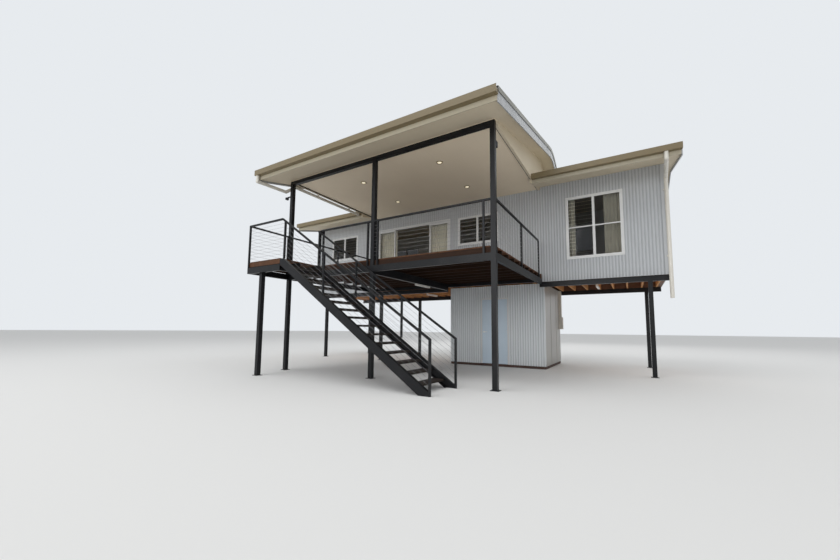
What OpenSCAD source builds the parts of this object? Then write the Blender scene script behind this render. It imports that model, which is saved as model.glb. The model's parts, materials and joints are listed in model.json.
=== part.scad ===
// Stilt house: a narrow upper storey on steel posts, with a wide verandah, an open stair
// and a small store room on the ground.
// X runs right along the front, Y runs back into the house, Z runs up from the ground.
// The origin is the centre of the foot of the middle verandah post.

/* [Levels] */
// Height of the floor beams' underside above the ground
under_z = 2420; // [2200:10:2700]
// Height of the step from the deck up to the house floor
deck_step = 10; // [0:5:60]
// Height from the house floor to the ceiling
room_h = 2550; // [2400:10:2800]
// How far the eaves' soffit edge lies below the ceiling
eave_drop = 170; // [120:5:220]

/* [House] */
// Spacing of the verandah posts
bay = 3000; // [2600:50:3400]
// Length of the house beyond the verandah on each side
wing = 3100; // [2700:50:3500]
// Depth of the house over its walls
house_d = 3000; // [2800:50:3600]
// Thickness of the outer walls
wall_t = 100; // [80:5:130]
// Thickness of the ceiling linings
lining_t = 12; // [8:1:16]

/* [Steel frame] */
// Width of the square steel posts
post_s = 100; // [80:5:120]
// Width of the posts' base plates
plate_s = 170; // [150:5:220]
// Thickness of the posts' base plates
plate_t = 10; // [6:1:16]
// Height of the floor beams
beam_h = 140; // [120:5:200]
// Width of the floor beams
beam_w = 100; // [90:5:120]
// Distance from the house corner to the middle of the corner posts
corner_in = 400; // [300:10:600]
// Spacing of the left wing's posts
left_bay = 2850; // [2500:50:3200]
// Thickness of the steel channels
channel_t = 10; // [6:1:14]
// Width of the steel channels' flanges
channel_w = 75; // [60:5:90]

/* [Timber floor] */
// Height of the house floor's joists
floor_joist_h = 225; // [180:5:260]
// Thickness of every joist
joist_t = 45; // [35:5:60]
// Spacing of the house floor's joists
floor_joist_pitch = 400; // [350:10:600]
// Thickness of the floor sheet
floor_t = 25; // [18:1:32]

/* [Deck] */
// Depth of the deck from its front edge to the house wall
deck_d = 4080; // [3600:20:4600]
// Thickness of the deck boards
board_t = 30; // [20:1:40]
// Height of the deck joists
deck_joist_h = 120; // [90:5:140]
// Largest spacing of the deck joists
deck_joist_pitch = 450; // [400:10:600]
// Height of the deck's steel channels
deck_beam_h = 150; // [120:5:200]
// Height of the deck's middle bearer
bearer_h = 200; // [160:5:240]

/* [Landing and stair] */
// Width of the landing along the deck
landing_w = 1250; // [1000:10:1500]
// Depth of the landing in front of the deck
landing_d = 1190; // [1100:10:1400]
// Height of the landing's steel channels
landing_beam_h = 150; // [120:5:180]
// Distance from the landing's left edge to the middle of its post
landing_post_x = 470; // [200:10:800]
// Number of stair risers
risers = 16; // [15:1:17]
// Going of the stair
going = 255; // [250:1:290]
// Depth of the treads
tread_d = 245; // [220:1:250]
// Thickness of the treads
tread_t = 40; // [30:1:50]
// Width of the gap between the stair and the deck
stair_gap = 115; // [60:5:160]
// Height of the stringers above the line of the tread noses
stringer_up = 45; // [20:5:80]
// Height of the stringers below the line of the tread noses
stringer_down = 165; // [140:5:220]

/* [Rails] */
// Height of the rails above the deck
rail_h = 950; // [900:10:1100]
// Width of the square rail tubes
rail_s = 40; // [30:2:50]
// Outer radius of the bent rail corners
bend_r = 70; // [50:5:90]
// Distance from the house wall to the last posts of the side rails
rail_end = 260; // [200:10:400]
// Number of rail wires
wires = 9; // [7:1:11]
// Diameter of the rail wires
wire_d = 4; // [3:1:8]

/* [Roof] */
// Pitch of both roofs in degrees
pitch = 13; // [10:0.5:15]
// Depth of the roofs square to their slope, from the soffit to the sheet
roof_d = 205; // [180:5:240]
// Thickness of the roof sheets with their battens
sheet_t = 25; // [20:1:35]
// Thickness of the soffit linings
soffit_t = 10; // [6:1:14]
// Overhang of the main roof in front of and behind the walls
eave_oh = 970; // [800:10:1100]
// Overhang of the main roof beyond the end walls
end_oh = 300; // [200:10:400]
// Overhang of the verandah roof in front of the posts' middle
front_oh = 850; // [700:10:1000]
// Overhang of the verandah roof beside the posts' middle
side_oh = 400; // [300:10:500]
// Radius of the curved end of the verandah roof
bull_r = 1300; // [1200:20:1500]
// Distance from the house wall to the start of the verandah roof's curve
bull_start = 190; // [150:10:300]
// Thickness of the fascia and barge boards
fascia_t = 22; // [18:1:30]
// How far the barge boards reach below the soffit
barge_drop = 55; // [30:5:80]
// How far the barge boards stand above the roof sheets
barge_up = 15; // [5:5:30]
// Height of the cappings on the barge boards
cap_h = 45; // [30:5:60]
// How far the cappings stand out from the barge boards
cap_out = 8; // [4:1:12]
// Width of the gutters
gutter_w = 115; // [100:5:140]
// Height of the gutters
gutter_h = 140; // [120:5:150]
// Thickness of the gutters' metal
gutter_t = 3; // [2:1:5]
// Diameter of the downpipes
pipe_d = 90; // [80:5:100]
// Distance from the right downpipe to the wall behind it
pipe_gap = 20; // [10:5:40]

/* [Windows] */
// Height of the window and door heads above the floor
head_h = 2050; // [2000:10:2150]
// Width of the small windows
small_win_w = 1330; // [1100:10:1500]
// Height of the small windows
small_win_h = 900; // [700:10:1100]
// Width of the large window
large_win_w = 1370; // [1200:10:1500]
// Height of the large window
large_win_h = 1730; // [1500:10:1800]
// How far the large window's head lies above the other heads
large_win_up = 50; // [0:10:60]
// Width of the sliding door opening
slider_w = 3060; // [2600:20:3200]
// How far the sliding door's head lies above the window heads
slider_up = 30; // [0:10:60]
// Width of the window and door frame bars
bar_w = 45; // [35:1:60]
// Depth of the window frames
bar_d = 60; // [50:2:70]
// Width of the windows' middle bars
mullion_w = 65; // [45:5:100]
// Height of the large window's cross bar
transom_w = 30; // [26:2:60]
// How far the window frames stand out from the wall
frame_out = 25; // [10:5:40]
// Largest height of one louvre blade
blade_h = 110; // [80:5:150]
// Tilt of the louvre blades in degrees
blade_tilt = 15; // [5:1:25]
// Thickness of the glass
glass_t = 6; // [4:1:8]

/* [Ground room] */
// Width of the store room
store_w = 3100; // [2800:20:3300]
// Depth of the store room
store_d = 2500; // [2200:20:2550]
// Distance from the house's front wall face back to the store room's
store_back = 350; // [250:10:450]
// Thickness of the store room's walls
store_wall_t = 90; // [70:5:110]
// Thickness of the store room's slab
slab_t = 80; // [60:5:120]
// Width of the store room's door leaf
door_w = 820; // [720:10:920]
// Height of the store room's door leaf
door_h = 2040; // [1980:10:2100]
// Thickness of the store room's door leaf
door_t = 38; // [32:1:44]
// Clearance around the store room's door leaf
door_gap = 6; // [5:1:10]
// Width of the store room's door jambs
jamb_w = 40; // [30:2:60]
// Distance from the store room's left side to the middle of its door
door_x = 1540; // [1300:10:1700]
// Radius of the hinge knuckles
hinge_r = 9; // [7:1:12]
// Height of each hinge
hinge_h = 100; // [80:5:120]

/* [Hidden] */
$fn = 48;

// Clearance where two pieces of one node butt together
butt = 0.4;
// Clearance between the wall tops and the roof sheets
wall_gap = 0.5;
// A length longer than the whole house
far = 20000;

wall_y = deck_d - post_s / 2;
rear_y = wall_y + house_d;
half_w = bay + wing;
deck_x = bay + post_s / 2;
deck_y = -post_s / 2;
wall_z = under_z + beam_h;
floor_z = wall_z + floor_joist_h + floor_t;
deck_z = floor_z - deck_step;
ceiling_z = floor_z + room_h;
deck_beam_z = deck_z - board_t - deck_joist_h - deck_beam_h;

landing_y = deck_y - landing_d;
landing_x0 = -deck_x;
landing_x1 = landing_x0 + landing_w;
stair_y0 = landing_y;
stair_y1 = deck_y - stair_gap;
riser = deck_z / risers;
stair_slope = riser / going;
stair_x1 = landing_x1 + risers * going;
rail_z = deck_z + rail_h;

slope = tan(pitch);
eave_z = ceiling_z - eave_drop;
roof_v = roof_d / cos(pitch);
eave_y = wall_y - eave_oh;
rear_eave_y = rear_y + eave_oh;
ridge_y = (eave_y + rear_eave_y) / 2;
barge_x = half_w + end_oh;
front_y = -front_oh;
side_x = bay + side_oh;
bull_y = wall_y - bull_start;
head_z = floor_z + head_h;

store_x0 = -60;
store_x1 = store_x0 + store_w;
store_y0 = wall_y + store_back;
store_y1 = store_y0 + store_d;

// A box from its six faces
module block(x0, x1, y0, y1, z0, z1) {
    translate([x0, y0, z0]) cube([x1 - x0, y1 - y0, z1 - z0]);
}

// A YZ profile pulled along X
module along_x(x0, x1) {
    translate([x0, 0, 0]) rotate([90, 0, 90]) linear_extrude(x1 - x0) children();
}

// An XZ profile pulled along Y
module along_y(y0, y1) {
    translate([0, y1, 0]) rotate([90, 0, 0]) linear_extrude(y1 - y0) children();
}

// A piece and its mirror image on the other side of the house
module both_sides() {
    children();
    mirror([1, 0, 0]) children();
}

// A steel channel's section with its web on the left, from the origin up
module channel_section(h) {
    difference() {
        square([channel_w, h]);
        translate([channel_t, channel_t]) square([channel_w, h - 2 * channel_t]);
    }
}

// A square steel post with a base plate
module post(x, y, top) {
    translate([x, y, 0]) {
        translate([-plate_s / 2, -plate_s / 2, 0]) cube([plate_s, plate_s, plate_t]);
        translate([-post_s / 2, -post_s / 2, 0]) cube([post_s, post_s, top]);
    }
}

// Posts and floor

house_post_x = [-half_w + corner_in + left_bay, -half_w + corner_in, half_w - corner_in];
row_in = 80;

module posts() {
    color([0.16, 0.17, 0.19]) {
        for (x = [-bay, 0, bay]) post(x, 0, ceiling_z - post_s);
        for (x = house_post_x, y = [wall_y + row_in, rear_y - row_in]) post(x, y, under_z);
        post(landing_x0 + landing_post_x, landing_y + channel_w + post_s / 2 - 20,
            deck_z - board_t - deck_joist_h - landing_beam_h);
    }
}

module floor_beams() {
    color([0.14, 0.15, 0.17]) for (y = [wall_y + row_in, rear_y - row_in]) {
        front = y < (wall_y + rear_y) / 2;
        for (x = front ? [[-half_w, store_x0], [deck_x - channel_w, half_w]] : [[-half_w, half_w]]) {
            block(x[0], x[1], y - beam_w / 2, y + beam_w / 2, under_z, wall_z);
        }
    }
}

// The floor joists' count and their left faces
floor_joist_n = ceil((2 * (half_w - wall_t) - joist_t) / floor_joist_pitch);
function floor_joist_x(i) = -half_w + wall_t + i * (2 * (half_w - wall_t) - joist_t) / floor_joist_n;

module floor_joists() {
    color([0.60, 0.36, 0.20]) for (i = [0 : floor_joist_n]) {
        x = floor_joist_x(i);
        block(x, x + joist_t, wall_y + wall_t, rear_y - wall_t, wall_z, wall_z + floor_joist_h);
    }
}

module house_floor() {
    color([0.70, 0.50, 0.30])
        block(-half_w + wall_t, half_w - wall_t, wall_y + wall_t, rear_y - wall_t,
            floor_z - floor_t, floor_z);
}

// Deck

// The rail posts stand on the steel channels
rail_foot_z = deck_z - board_t - deck_joist_h;
bearer_z = rail_foot_z - bearer_h;
// The channel along the house wall reaches down to the wall's foot
ledger_h = max(3 * channel_t, rail_foot_z - wall_z);

module deck_beams() {
    color([0.14, 0.15, 0.17]) {
        both_sides() {
            along_x(post_s / 2, bay - post_s / 2) {
                translate([deck_y, deck_beam_z]) channel_section(deck_beam_h);
            }
            along_y(post_s / 2, wall_y) {
                translate([deck_x, deck_beam_z]) mirror([1, 0]) channel_section(deck_beam_h);
            }
        }
        along_y(post_s / 2, wall_y - channel_w - butt) {
            translate([channel_w / 2, bearer_z]) mirror([1, 0]) channel_section(bearer_h);
        }
        along_x(-deck_x + channel_w + butt, deck_x - channel_w - butt) {
            translate([wall_y - channel_w, rail_foot_z - ledger_h]) channel_section(ledger_h);
        }
    }
}

// The deck's timber edges stand back from the channels by the width of the rail posts
edge_x = deck_x - rail_s;
edge_y = deck_y + rail_s;
// The deck joists' count and their front faces
deck_joist_n = ceil((wall_y - joist_t - edge_y) / deck_joist_pitch);
function deck_joist_y(i) = edge_y + i * (wall_y - joist_t - edge_y) / deck_joist_n;

module deck_joists() {
    z0 = deck_z - board_t - deck_joist_h;
    color([0.45, 0.24, 0.14]) {
        both_sides() block(post_s / 2, bay - post_s / 2, edge_y, edge_y + joist_t, z0, z0 + deck_joist_h);
        for (i = [1 : deck_joist_n]) {
            y = deck_joist_y(i);
            block(-edge_x, edge_x, y, y + joist_t, z0, z0 + deck_joist_h);
        }
    }
}

module deck_floor() {
    color([0.48, 0.27, 0.17]) difference() {
        block(-edge_x, edge_x, edge_y, wall_y, deck_z - board_t, deck_z);
        for (x = [-bay, 0, bay]) {
            block(x - post_s / 2, x + post_s / 2, -post_s / 2, post_s / 2,
                deck_z - 2 * board_t, deck_z + board_t);
        }
    }
}

module landing_frame() {
    z0 = deck_z - board_t - deck_joist_h - landing_beam_h;
    zj = z0 + landing_beam_h;
    x0 = landing_x0 + rail_s;
    x1 = landing_x1 - rail_s;
    yj = landing_y + rail_s;
    color([0.14, 0.15, 0.17]) {
        along_x(landing_x0, landing_x1) translate([landing_y, z0]) channel_section(landing_beam_h);
        along_y(landing_y + channel_w + butt, deck_y) {
            translate([landing_x0, z0]) channel_section(landing_beam_h);
            translate([landing_x1, z0]) mirror([1, 0]) channel_section(landing_beam_h);
        }
        for (y = [yj, yj + (deck_y - joist_t - yj) / 2, deck_y - joist_t]) {
            block(x0, x1, y, y + joist_t, zj + butt, zj + deck_joist_h);
        }
    }
}

module landing_floor() {
    color([0.48, 0.27, 0.17]) difference() {
        block(landing_x0 + rail_s, landing_x1 - rail_s, landing_y + rail_s, edge_y,
            deck_z - board_t, deck_z);
        block(-bay - post_s / 2, -bay + post_s / 2, -post_s / 2, post_s / 2,
            deck_z - 2 * board_t, deck_z + board_t);
    }
}

// Stair

// Height of the line of the tread noses at an X
function nose_z(x) = (stair_x1 - x) * stair_slope;

// One stringer's side outline
module stringer_outline(inset) {
    x0 = landing_x1;
    intersection() {
        polygon([
            [x0, nose_z(x0) - stringer_down + inset],
            [stair_x1 + going, nose_z(stair_x1 + going) - stringer_down + inset],
            [stair_x1 + going, nose_z(stair_x1 + going) + stringer_up - inset],
            [x0, nose_z(x0) + stringer_up - inset]]);
        translate([x0, 0]) square([stair_x1 - x0 - rail_s, deck_z - board_t]);
    }
}

module stringer(y_web, y_flange) {
    along_y(min(y_web, y_web + sign(y_flange) * channel_t), max(y_web, y_web + sign(y_flange) * channel_t)) {
        stringer_outline(0);
    }
    along_y(min(y_web, y_web + y_flange), max(y_web, y_web + y_flange)) difference() {
        stringer_outline(0);
        stringer_outline(channel_t / cos(atan(stair_slope)));
    }
}

module stair_stringers() {
    color([0.14, 0.15, 0.17]) {
        stringer(stair_y0, channel_w);
        stringer(stair_y1, -channel_w);
    }
}

module stair_treads() {
    color([0.20, 0.18, 0.17]) for (k = [1 : risers - 1]) {
        nose_x = landing_x1 + going * (risers - k);
        z = k * riser;
        block(nose_x - tread_d, nose_x, stair_y0 + channel_w, stair_y1 - channel_w, z - tread_t, z);
    }
}

// Rails

// A straight panel of wires between two X places at one height range
module wire_rows(x0, x1, z0, z1) {
    for (i = [1 : wires]) {
        z = z0 + (z1 - z0) * i / (wires + 1);
        translate([x0, 0, z]) rotate([0, 90, 0]) cylinder(d = wire_d, h = x1 - x0, $fn = 6);
    }
}

// The side outline of a rail that bends down into its end post on the left of an X
module bent_end(x) {
    translate([x, 0]) {
        translate([bend_r, rail_z - bend_r]) intersection() {
            difference() {
                circle(r = bend_r);
                circle(r = bend_r - rail_s);
            }
            translate([-far, 0]) square([far, far]);
        }
        translate([0, rail_foot_z]) square([rail_s, rail_z - bend_r - rail_foot_z]);
    }
}

// A level rail panel along X with posts at the given X places and bent ends where asked
module level_rail(x0, x1, posts, bent0 = false, bent1 = false) {
    along_y(-rail_s / 2, rail_s / 2) {
        xa = x0 + (bent0 ? bend_r : 0);
        xb = x1 - (bent1 ? bend_r : 0);
        translate([xa, rail_z - rail_s]) square([xb - xa, rail_s]);
        if (bent0) bent_end(x0);
        if (bent1) translate([x1, 0]) mirror([1, 0]) bent_end(0);
        for (x = posts) {
            translate([x - rail_s / 2, rail_foot_z]) square([rail_s, rail_z - rail_s / 2 - rail_foot_z]);
        }
    }
    wire_rows(x0 + (bent0 ? rail_s / 2 : 0), x1 - (bent1 ? rail_s / 2 : 0), deck_z, rail_z - rail_s);
}

// The near stair rail's first post and the far stair rail's upper end
near_post_x = landing_x1 + going / 2;
far_x0 = landing_x1 + 2 * bend_r - rail_s / 2;

module deck_rails() {
    color([0.15, 0.16, 0.18]) {
        translate([0, deck_y + rail_s / 2, 0]) {
            level_rail(landing_x1, -post_s / 2, [landing_x1 + 2 * bend_r, -3 * post_s / 2], bent0 = true);
            level_rail(post_s / 2, bay - post_s / 2, [3 * post_s / 2, bay - 2 * post_s]);
        }
        both_sides() translate([deck_x - rail_s / 2, 0, 0]) rotate([0, 0, 90]) {
            level_rail(post_s / 2, wall_y - rail_end, [wall_y / 2 - post_s], bent1 = true);
        }
        translate([0, landing_y + rail_s / 2, 0]) {
            x0 = landing_x0 + rail_s + butt;
            block(x0, landing_x1, -rail_s / 2, rail_s / 2, rail_z - rail_s, rail_z);
            wire_rows(x0, near_post_x - rail_s / 2, deck_z, rail_z - rail_s);
        }
        translate([landing_x0 + rail_s / 2, 0, 0]) rotate([0, 0, 90]) {
            level_rail(landing_y, deck_y, [landing_y + rail_s / 2, deck_y - rail_s / 2]);
        }
    }
}

// A sloping rail from an X down to the stair's foot, with its posts' X places
module stair_rail(x0, y, posts) {
    x1 = stair_x1;
    x2 = x1 - rail_s / 2;
    rail_v = rail_s / cos(atan(stair_slope));
    top = rail_h + rail_v / 2;
    translate([0, y, 0]) {
        along_y(-rail_s / 2, rail_s / 2) intersection() {
            polygon([
                [x0, nose_z(x0) + top - rail_v], [x1, nose_z(x1) + top - rail_v],
                [x1, nose_z(x1) + top], [x0, nose_z(x0) + top]]);
            square([far, 2 * rail_z], center = true);
        }
        for (x = posts) {
            foot = min(nose_z(x - rail_s / 2) + stringer_up, deck_z - board_t);
            block(x - rail_s / 2, x + rail_s / 2, -rail_s / 2, rail_s / 2,
                foot, nose_z(x) + top - rail_v / 2);
        }
        block(x1 - rail_s, x1, -rail_s / 2, rail_s / 2, 0, nose_z(x1) + top - rail_v / 2);
        for (i = [1 : wires - 2]) {
            up = stringer_up + (top - rail_v - stringer_up) * i / (wires - 1);
            along_y(-wire_d / 2, wire_d / 2) polygon([
                [posts[0], nose_z(posts[0]) + up], [x2, nose_z(x2) + up],
                [x2, nose_z(x2) + up + wire_d], [posts[0], nose_z(posts[0]) + up + wire_d]]);
        }
    }
}

module stair_rails() {
    color([0.15, 0.16, 0.18]) {
        stair_rail(landing_x1, stair_y0 + rail_s / 2, [near_post_x, landing_x1 + 5.65 * going]);
        stair_rail(far_x0, stair_y1 - rail_s / 2, [for (f = [0.6, 5.65, 10.86]) landing_x1 + f * going]);
        z = nose_z(far_x0) + rail_h;
        block(far_x0, far_x0 + rail_s, stair_y1 + butt, deck_y, z - rail_s / 2, z + rail_s / 2);
    }
}

// Walls

slider_x1 = post_s / 2;
slider_x0 = slider_x1 - slider_w;
slider_z = head_z + slider_up;
// Windows as [left X, width, sill Z, head Z]
large_win = [half_w - 2320, large_win_w, head_z + large_win_up - large_win_h, head_z + large_win_up];
louvre_win = [slider_x1 + 350, small_win_w, head_z - small_win_h, head_z];
left_win = [-half_w + 730, small_win_w, head_z - small_win_h, head_z];
front_windows = [left_win, louvre_win, large_win];
rear_windows = [for (x = [-half_w + 1800, -small_win_w / 2, half_w - 3200])
    [x, small_win_w, head_z - small_win_h, head_z]];

// Height of the main roof sheet's underside at a Y
function sheet_under(y) = eave_z + roof_v + slope * min(y - eave_y, rear_eave_y - y) - sheet_t / cos(pitch);

// A wall along X with a sloped top, from its bottom up to the roof sheet
module long_wall(x0, x1, y, bottom) {
    along_x(x0, x1) polygon([
        [y, bottom], [y + wall_t, bottom],
        [y + wall_t, sheet_under(y + wall_t) - wall_gap], [y, sheet_under(y) - wall_gap]]);
}

module window_hole(w, y) {
    block(w[0], w[0] + w[1], y - wall_t, y + 2 * wall_t, w[2], w[3]);
}

module front_wall_left() {
    color([0.86, 0.86, 0.83]) difference() {
        long_wall(-half_w, slider_x0, wall_y, wall_z);
        window_hole(left_win, wall_y);
    }
}

module front_wall_over_door() {
    color([0.86, 0.86, 0.83]) long_wall(slider_x0, slider_x1, wall_y, slider_z);
}

module front_wall_right() {
    color([0.86, 0.86, 0.83]) difference() {
        long_wall(slider_x1, half_w, wall_y, wall_z);
        window_hole(louvre_win, wall_y);
        window_hole(large_win, wall_y);
    }
}

module rear_wall() {
    color([0.86, 0.86, 0.83]) difference() {
        long_wall(-half_w, half_w, rear_y - wall_t, wall_z);
        for (w = rear_windows) window_hole(w, rear_y - wall_t);
    }
}

module end_walls() {
    y0 = wall_y + wall_t;
    y1 = rear_y - wall_t;
    color([0.86, 0.86, 0.83]) both_sides() along_x(half_w - wall_t, half_w) polygon([
        [y0, wall_z], [y1, wall_z], [y1, sheet_under(y1) - wall_gap],
        [ridge_y, sheet_under(ridge_y) - wall_gap], [y0, sheet_under(y0) - wall_gap]]);
}

module house_ceiling() {
    color([0.90, 0.88, 0.84])
        block(-half_w + wall_t, half_w - wall_t, wall_y + wall_t, rear_y - wall_t,
            ceiling_z, ceiling_z + lining_t);
}

// The openings of one window frame as [left X, right X, low Z, high Z]: left half, then right half
function window_lights(w, transom) = let (
        mid = w[0] + w[1] / 2,
        z = w[2] + (w[3] - w[2]) * transom,
        heights = transom > 0
            ? [[w[2] + bar_w, z - transom_w / 2], [z + transom_w / 2, w[3] - bar_w]]
            : [[w[2] + bar_w, w[3] - bar_w]])
    [for (x = [[w[0] + bar_w, mid - mullion_w / 2], [mid + mullion_w / 2, w[0] + w[1] - bar_w]])
        [for (h = heights) [x[0], x[1], h[0], h[1]]]];

// A window frame with a middle bar, and a cross bar at a share of its height
module window_frame(w, y, transom = 0) {
    difference() {
        block(w[0], w[0] + w[1], y, y + bar_d, w[2], w[3]);
        for (half = window_lights(w, transom), o = half) {
            block(o[0], o[1], y - bar_d, y + 2 * bar_d, o[2], o[3]);
        }
    }
}

front_frame_y = wall_y - frame_out;
rear_frame_y = rear_y - bar_d + frame_out;

module window_frames() {
    color([0.92, 0.92, 0.90]) {
        window_frame(large_win, front_frame_y, 0.5);
        for (w = [left_win, louvre_win]) window_frame(w, front_frame_y);
        for (w = rear_windows) window_frame(w, rear_frame_y);
    }
}

// A flat pane that fills one opening of a window frame
module pane(o, y) {
    yg = y + (bar_d - glass_t) / 2;
    block(o[0], o[1], yg, yg + glass_t, o[2], o[3]);
}

// A row of tilted glass blades that fills one opening of a window frame
module blades(o, y) {
    n = ceil((o[3] - o[2]) / blade_h);
    pitch = (o[3] - o[2]) / n;
    for (i = [0 : n - 1]) translate([o[0], y + bar_d / 2, o[2] + (i + 0.5) * pitch]) {
        rotate([-blade_tilt, 0, 0]) translate([0, -glass_t / 2, -pitch / 2 + 2]) {
            cube([o[1] - o[0], glass_t, pitch - 4]);
        }
    }
}

module window_glass() {
    color([0.45, 0.52, 0.56, 0.5]) {
        for (w = [left_win, louvre_win], half = window_lights(w, 0), o = half) blades(o, front_frame_y);
        for (o = window_lights(large_win, 0.5)[0]) blades(o, front_frame_y);
        for (o = window_lights(large_win, 0.5)[1]) pane(o, front_frame_y);
        for (w = rear_windows, half = window_lights(w, 0), o = half) pane(o, rear_frame_y);
        for (p = leaf_places) {
            y = p[1] + (leaf_d - glass_t) / 2;
            block(p[0] + bar_w, p[0] + leaf_w - bar_w, y, y + glass_t,
                leaf_z0 + bar_w * 1.5, leaf_z1 - bar_w);
        }
    }
}

// Sliding door: two fixed outer leaves with the two sliding leaves parked behind them

leaf_w = (slider_w - 2 * bar_w) / 4 + 10;
leaf_d = 35;
leaf_z0 = floor_z + bar_w;
leaf_z1 = slider_z - bar_w;

module slider_frame() {
    color([0.93, 0.93, 0.91]) {
        block(slider_x0, slider_x1, wall_y, wall_y + wall_t, slider_z - bar_w, slider_z);
        block(slider_x0, slider_x1, wall_y, wall_y + wall_t, floor_z, floor_z + bar_w);
        for (x = [slider_x0, slider_x1 - bar_w]) {
            block(x, x + bar_w, wall_y, wall_y + wall_t, floor_z + bar_w + butt, slider_z - bar_w - butt);
        }
    }
}

// Places of the four leaves as [left X, Y]
leaf_places = [for (s = [0, 1], row = [0, 1])
    [s == 0 ? slider_x0 + bar_w : slider_x1 - bar_w - leaf_w, wall_y + 12 + row * (leaf_d + 3)]];

module slider_leaves() {
    color([0.93, 0.93, 0.91]) for (p = leaf_places) difference() {
        block(p[0], p[0] + leaf_w, p[1], p[1] + leaf_d, leaf_z0, leaf_z1);
        block(p[0] + bar_w, p[0] + leaf_w - bar_w, p[1] - leaf_d, p[1] + 2 * leaf_d,
            leaf_z0 + bar_w * 1.5, leaf_z1 - bar_w);
    }
}

// Main roof

// The YZ region under the main roof, lowered by a distance square to the slope
module under_main(drop, over = 0) {
    v = roof_v - drop / cos(pitch);
    y0 = eave_y - over;
    y1 = rear_eave_y + over;
    polygon([
        [y0, under_z], [y1, under_z], [y1, eave_z + v - slope * over],
        [ridge_y, eave_z + v + slope * (ridge_y - eave_y)], [y0, eave_z + v - slope * over]]);
}

sheet_over = 30;

module main_roof() {
    color([0.84, 0.84, 0.80]) {
        difference() {
            along_x(-barge_x + fascia_t, barge_x - fascia_t) difference() {
                under_main(0, sheet_over);
                under_main(sheet_t, sheet_over + 1);
            }
            block(-deck_x - butt, deck_x + butt, 0, wall_y, 0, far);
        }
        along_x(-barge_x + fascia_t, barge_x - fascia_t) intersection() {
            difference() {
                under_main(-3);
                under_main(sheet_t / 2);
            }
            translate([ridge_y - 150, 0]) square([300, far]);
        }
    }
}

// The soffit's YZ profile between two Y places
module main_soffit_strip(y0, y1) {
    intersection() {
        difference() {
            under_main(roof_d - soffit_t);
            under_main(roof_d);
        }
        translate([y0, 0]) square([y1 - y0, far]);
    }
}

module main_soffit() {
    x1 = barge_x - fascia_t;
    color([0.86, 0.82, 0.74]) {
        both_sides() {
            along_x(deck_x, x1) main_soffit_strip(eave_y + fascia_t, wall_y);
            along_x(half_w, x1) main_soffit_strip(wall_y + butt, rear_y - butt);
        }
        along_x(-x1, x1) main_soffit_strip(rear_y, rear_eave_y - fascia_t);
    }
}

// A fascia board's section, its outer face at Y 0
module fascia_section() {
    low = eave_z - barge_drop / 3;
    polygon([
        [0, low], [fascia_t, low], [fascia_t, eave_z + roof_v - sheet_t / cos(pitch)],
        [0, eave_z + roof_v - sheet_t / cos(pitch) - slope * 0]]);
}

module main_fascia() {
    x1 = barge_x - fascia_t;
    color([0.85, 0.82, 0.74]) {
        both_sides() along_x(deck_x, x1) translate([eave_y, 0]) fascia_section();
        along_x(-x1, x1) translate([rear_eave_y, 0]) mirror([1, 0]) fascia_section();
    }
}

module main_barges() {
    color([0.85, 0.82, 0.74]) both_sides() {
        along_x(barge_x - fascia_t, barge_x) difference() {
            under_main(-barge_up);
            under_main(roof_d + barge_drop, 1);
        }
        along_x(barge_x + butt, barge_x + cap_out) difference() {
            under_main(-barge_up);
            under_main(cap_h - barge_up, 1);
        }
    }
}

// A gutter's section, its back at Y 0, open at the top, with a rolled lip
module gutter_section() {
    z0 = eave_z + roof_v + 10 - gutter_h;
    difference() {
        translate([-gutter_w, z0]) square([gutter_w, gutter_h]);
        translate([-gutter_w + gutter_t, z0 + gutter_t]) square([gutter_w - 2 * gutter_t, gutter_h]);
        translate([-gutter_w / 2, z0 + gutter_h - 55]) square([gutter_w, 60]);
    }
    translate([-gutter_w + 6, z0 + gutter_h - 6]) circle(r = 6, $fn = 24);
}

// A gutter along X with closed ends
module gutter(x0, x1) {
    along_x(x0, x1) gutter_section();
    z0 = eave_z + roof_v + 10 - gutter_h;
    for (x = [x0, x1 - gutter_t]) {
        block(x, x + gutter_t, -gutter_w, 0, z0, z0 + gutter_h - 55);
    }
}

module main_gutters() {
    color([0.84, 0.82, 0.74]) {
        both_sides() translate([0, eave_y, 0]) gutter(deck_x, barge_x);
        translate([0, rear_eave_y, 0]) rotate([0, 0, 180]) gutter(-barge_x, barge_x);
    }
}

// Verandah roof

bull_z = eave_z + roof_v + slope * (bull_y - front_y);
bull_centre = [bull_y + bull_r * sin(pitch), bull_z - bull_r * cos(pitch)];

// Where the verandah roof's curve starts, lowered by a distance square to its surface
function bend_edge(drop) = [
    bull_centre[0] - (bull_r - drop) * sin(pitch), bull_centre[1] + (bull_r - drop) * cos(pitch)];

// The YZ region under the verandah roof, lowered by a distance square to its surface
module under_verandah(drop, over = 0) {
    y0 = front_y - over;
    v = roof_v - drop / cos(pitch);
    polygon([
        [y0, under_z], [bull_centre[0], under_z], bull_centre, bend_edge(drop),
        [y0, eave_z + v - slope * over]]);
    translate(bull_centre) circle(r = bull_r - drop, $fn = 180);
}

// A layer of the verandah roof that stops where it meets the main roof
module verandah_layer(outer, inner, over = 0) {
    difference() {
        intersection() {
            under_verandah(outer, over);
            translate([front_y - over, eave_z - roof_v]) square([far, far]);
        }
        under_verandah(inner, over + 1);
        under_main(0, sheet_over);
        translate([ridge_y, 0]) square([far, far]);
    }
}

module verandah_roof() {
    color([0.84, 0.84, 0.80]) along_x(-side_x + fascia_t, side_x - fascia_t) {
        verandah_layer(0, sheet_t, sheet_over);
    }
}

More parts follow.
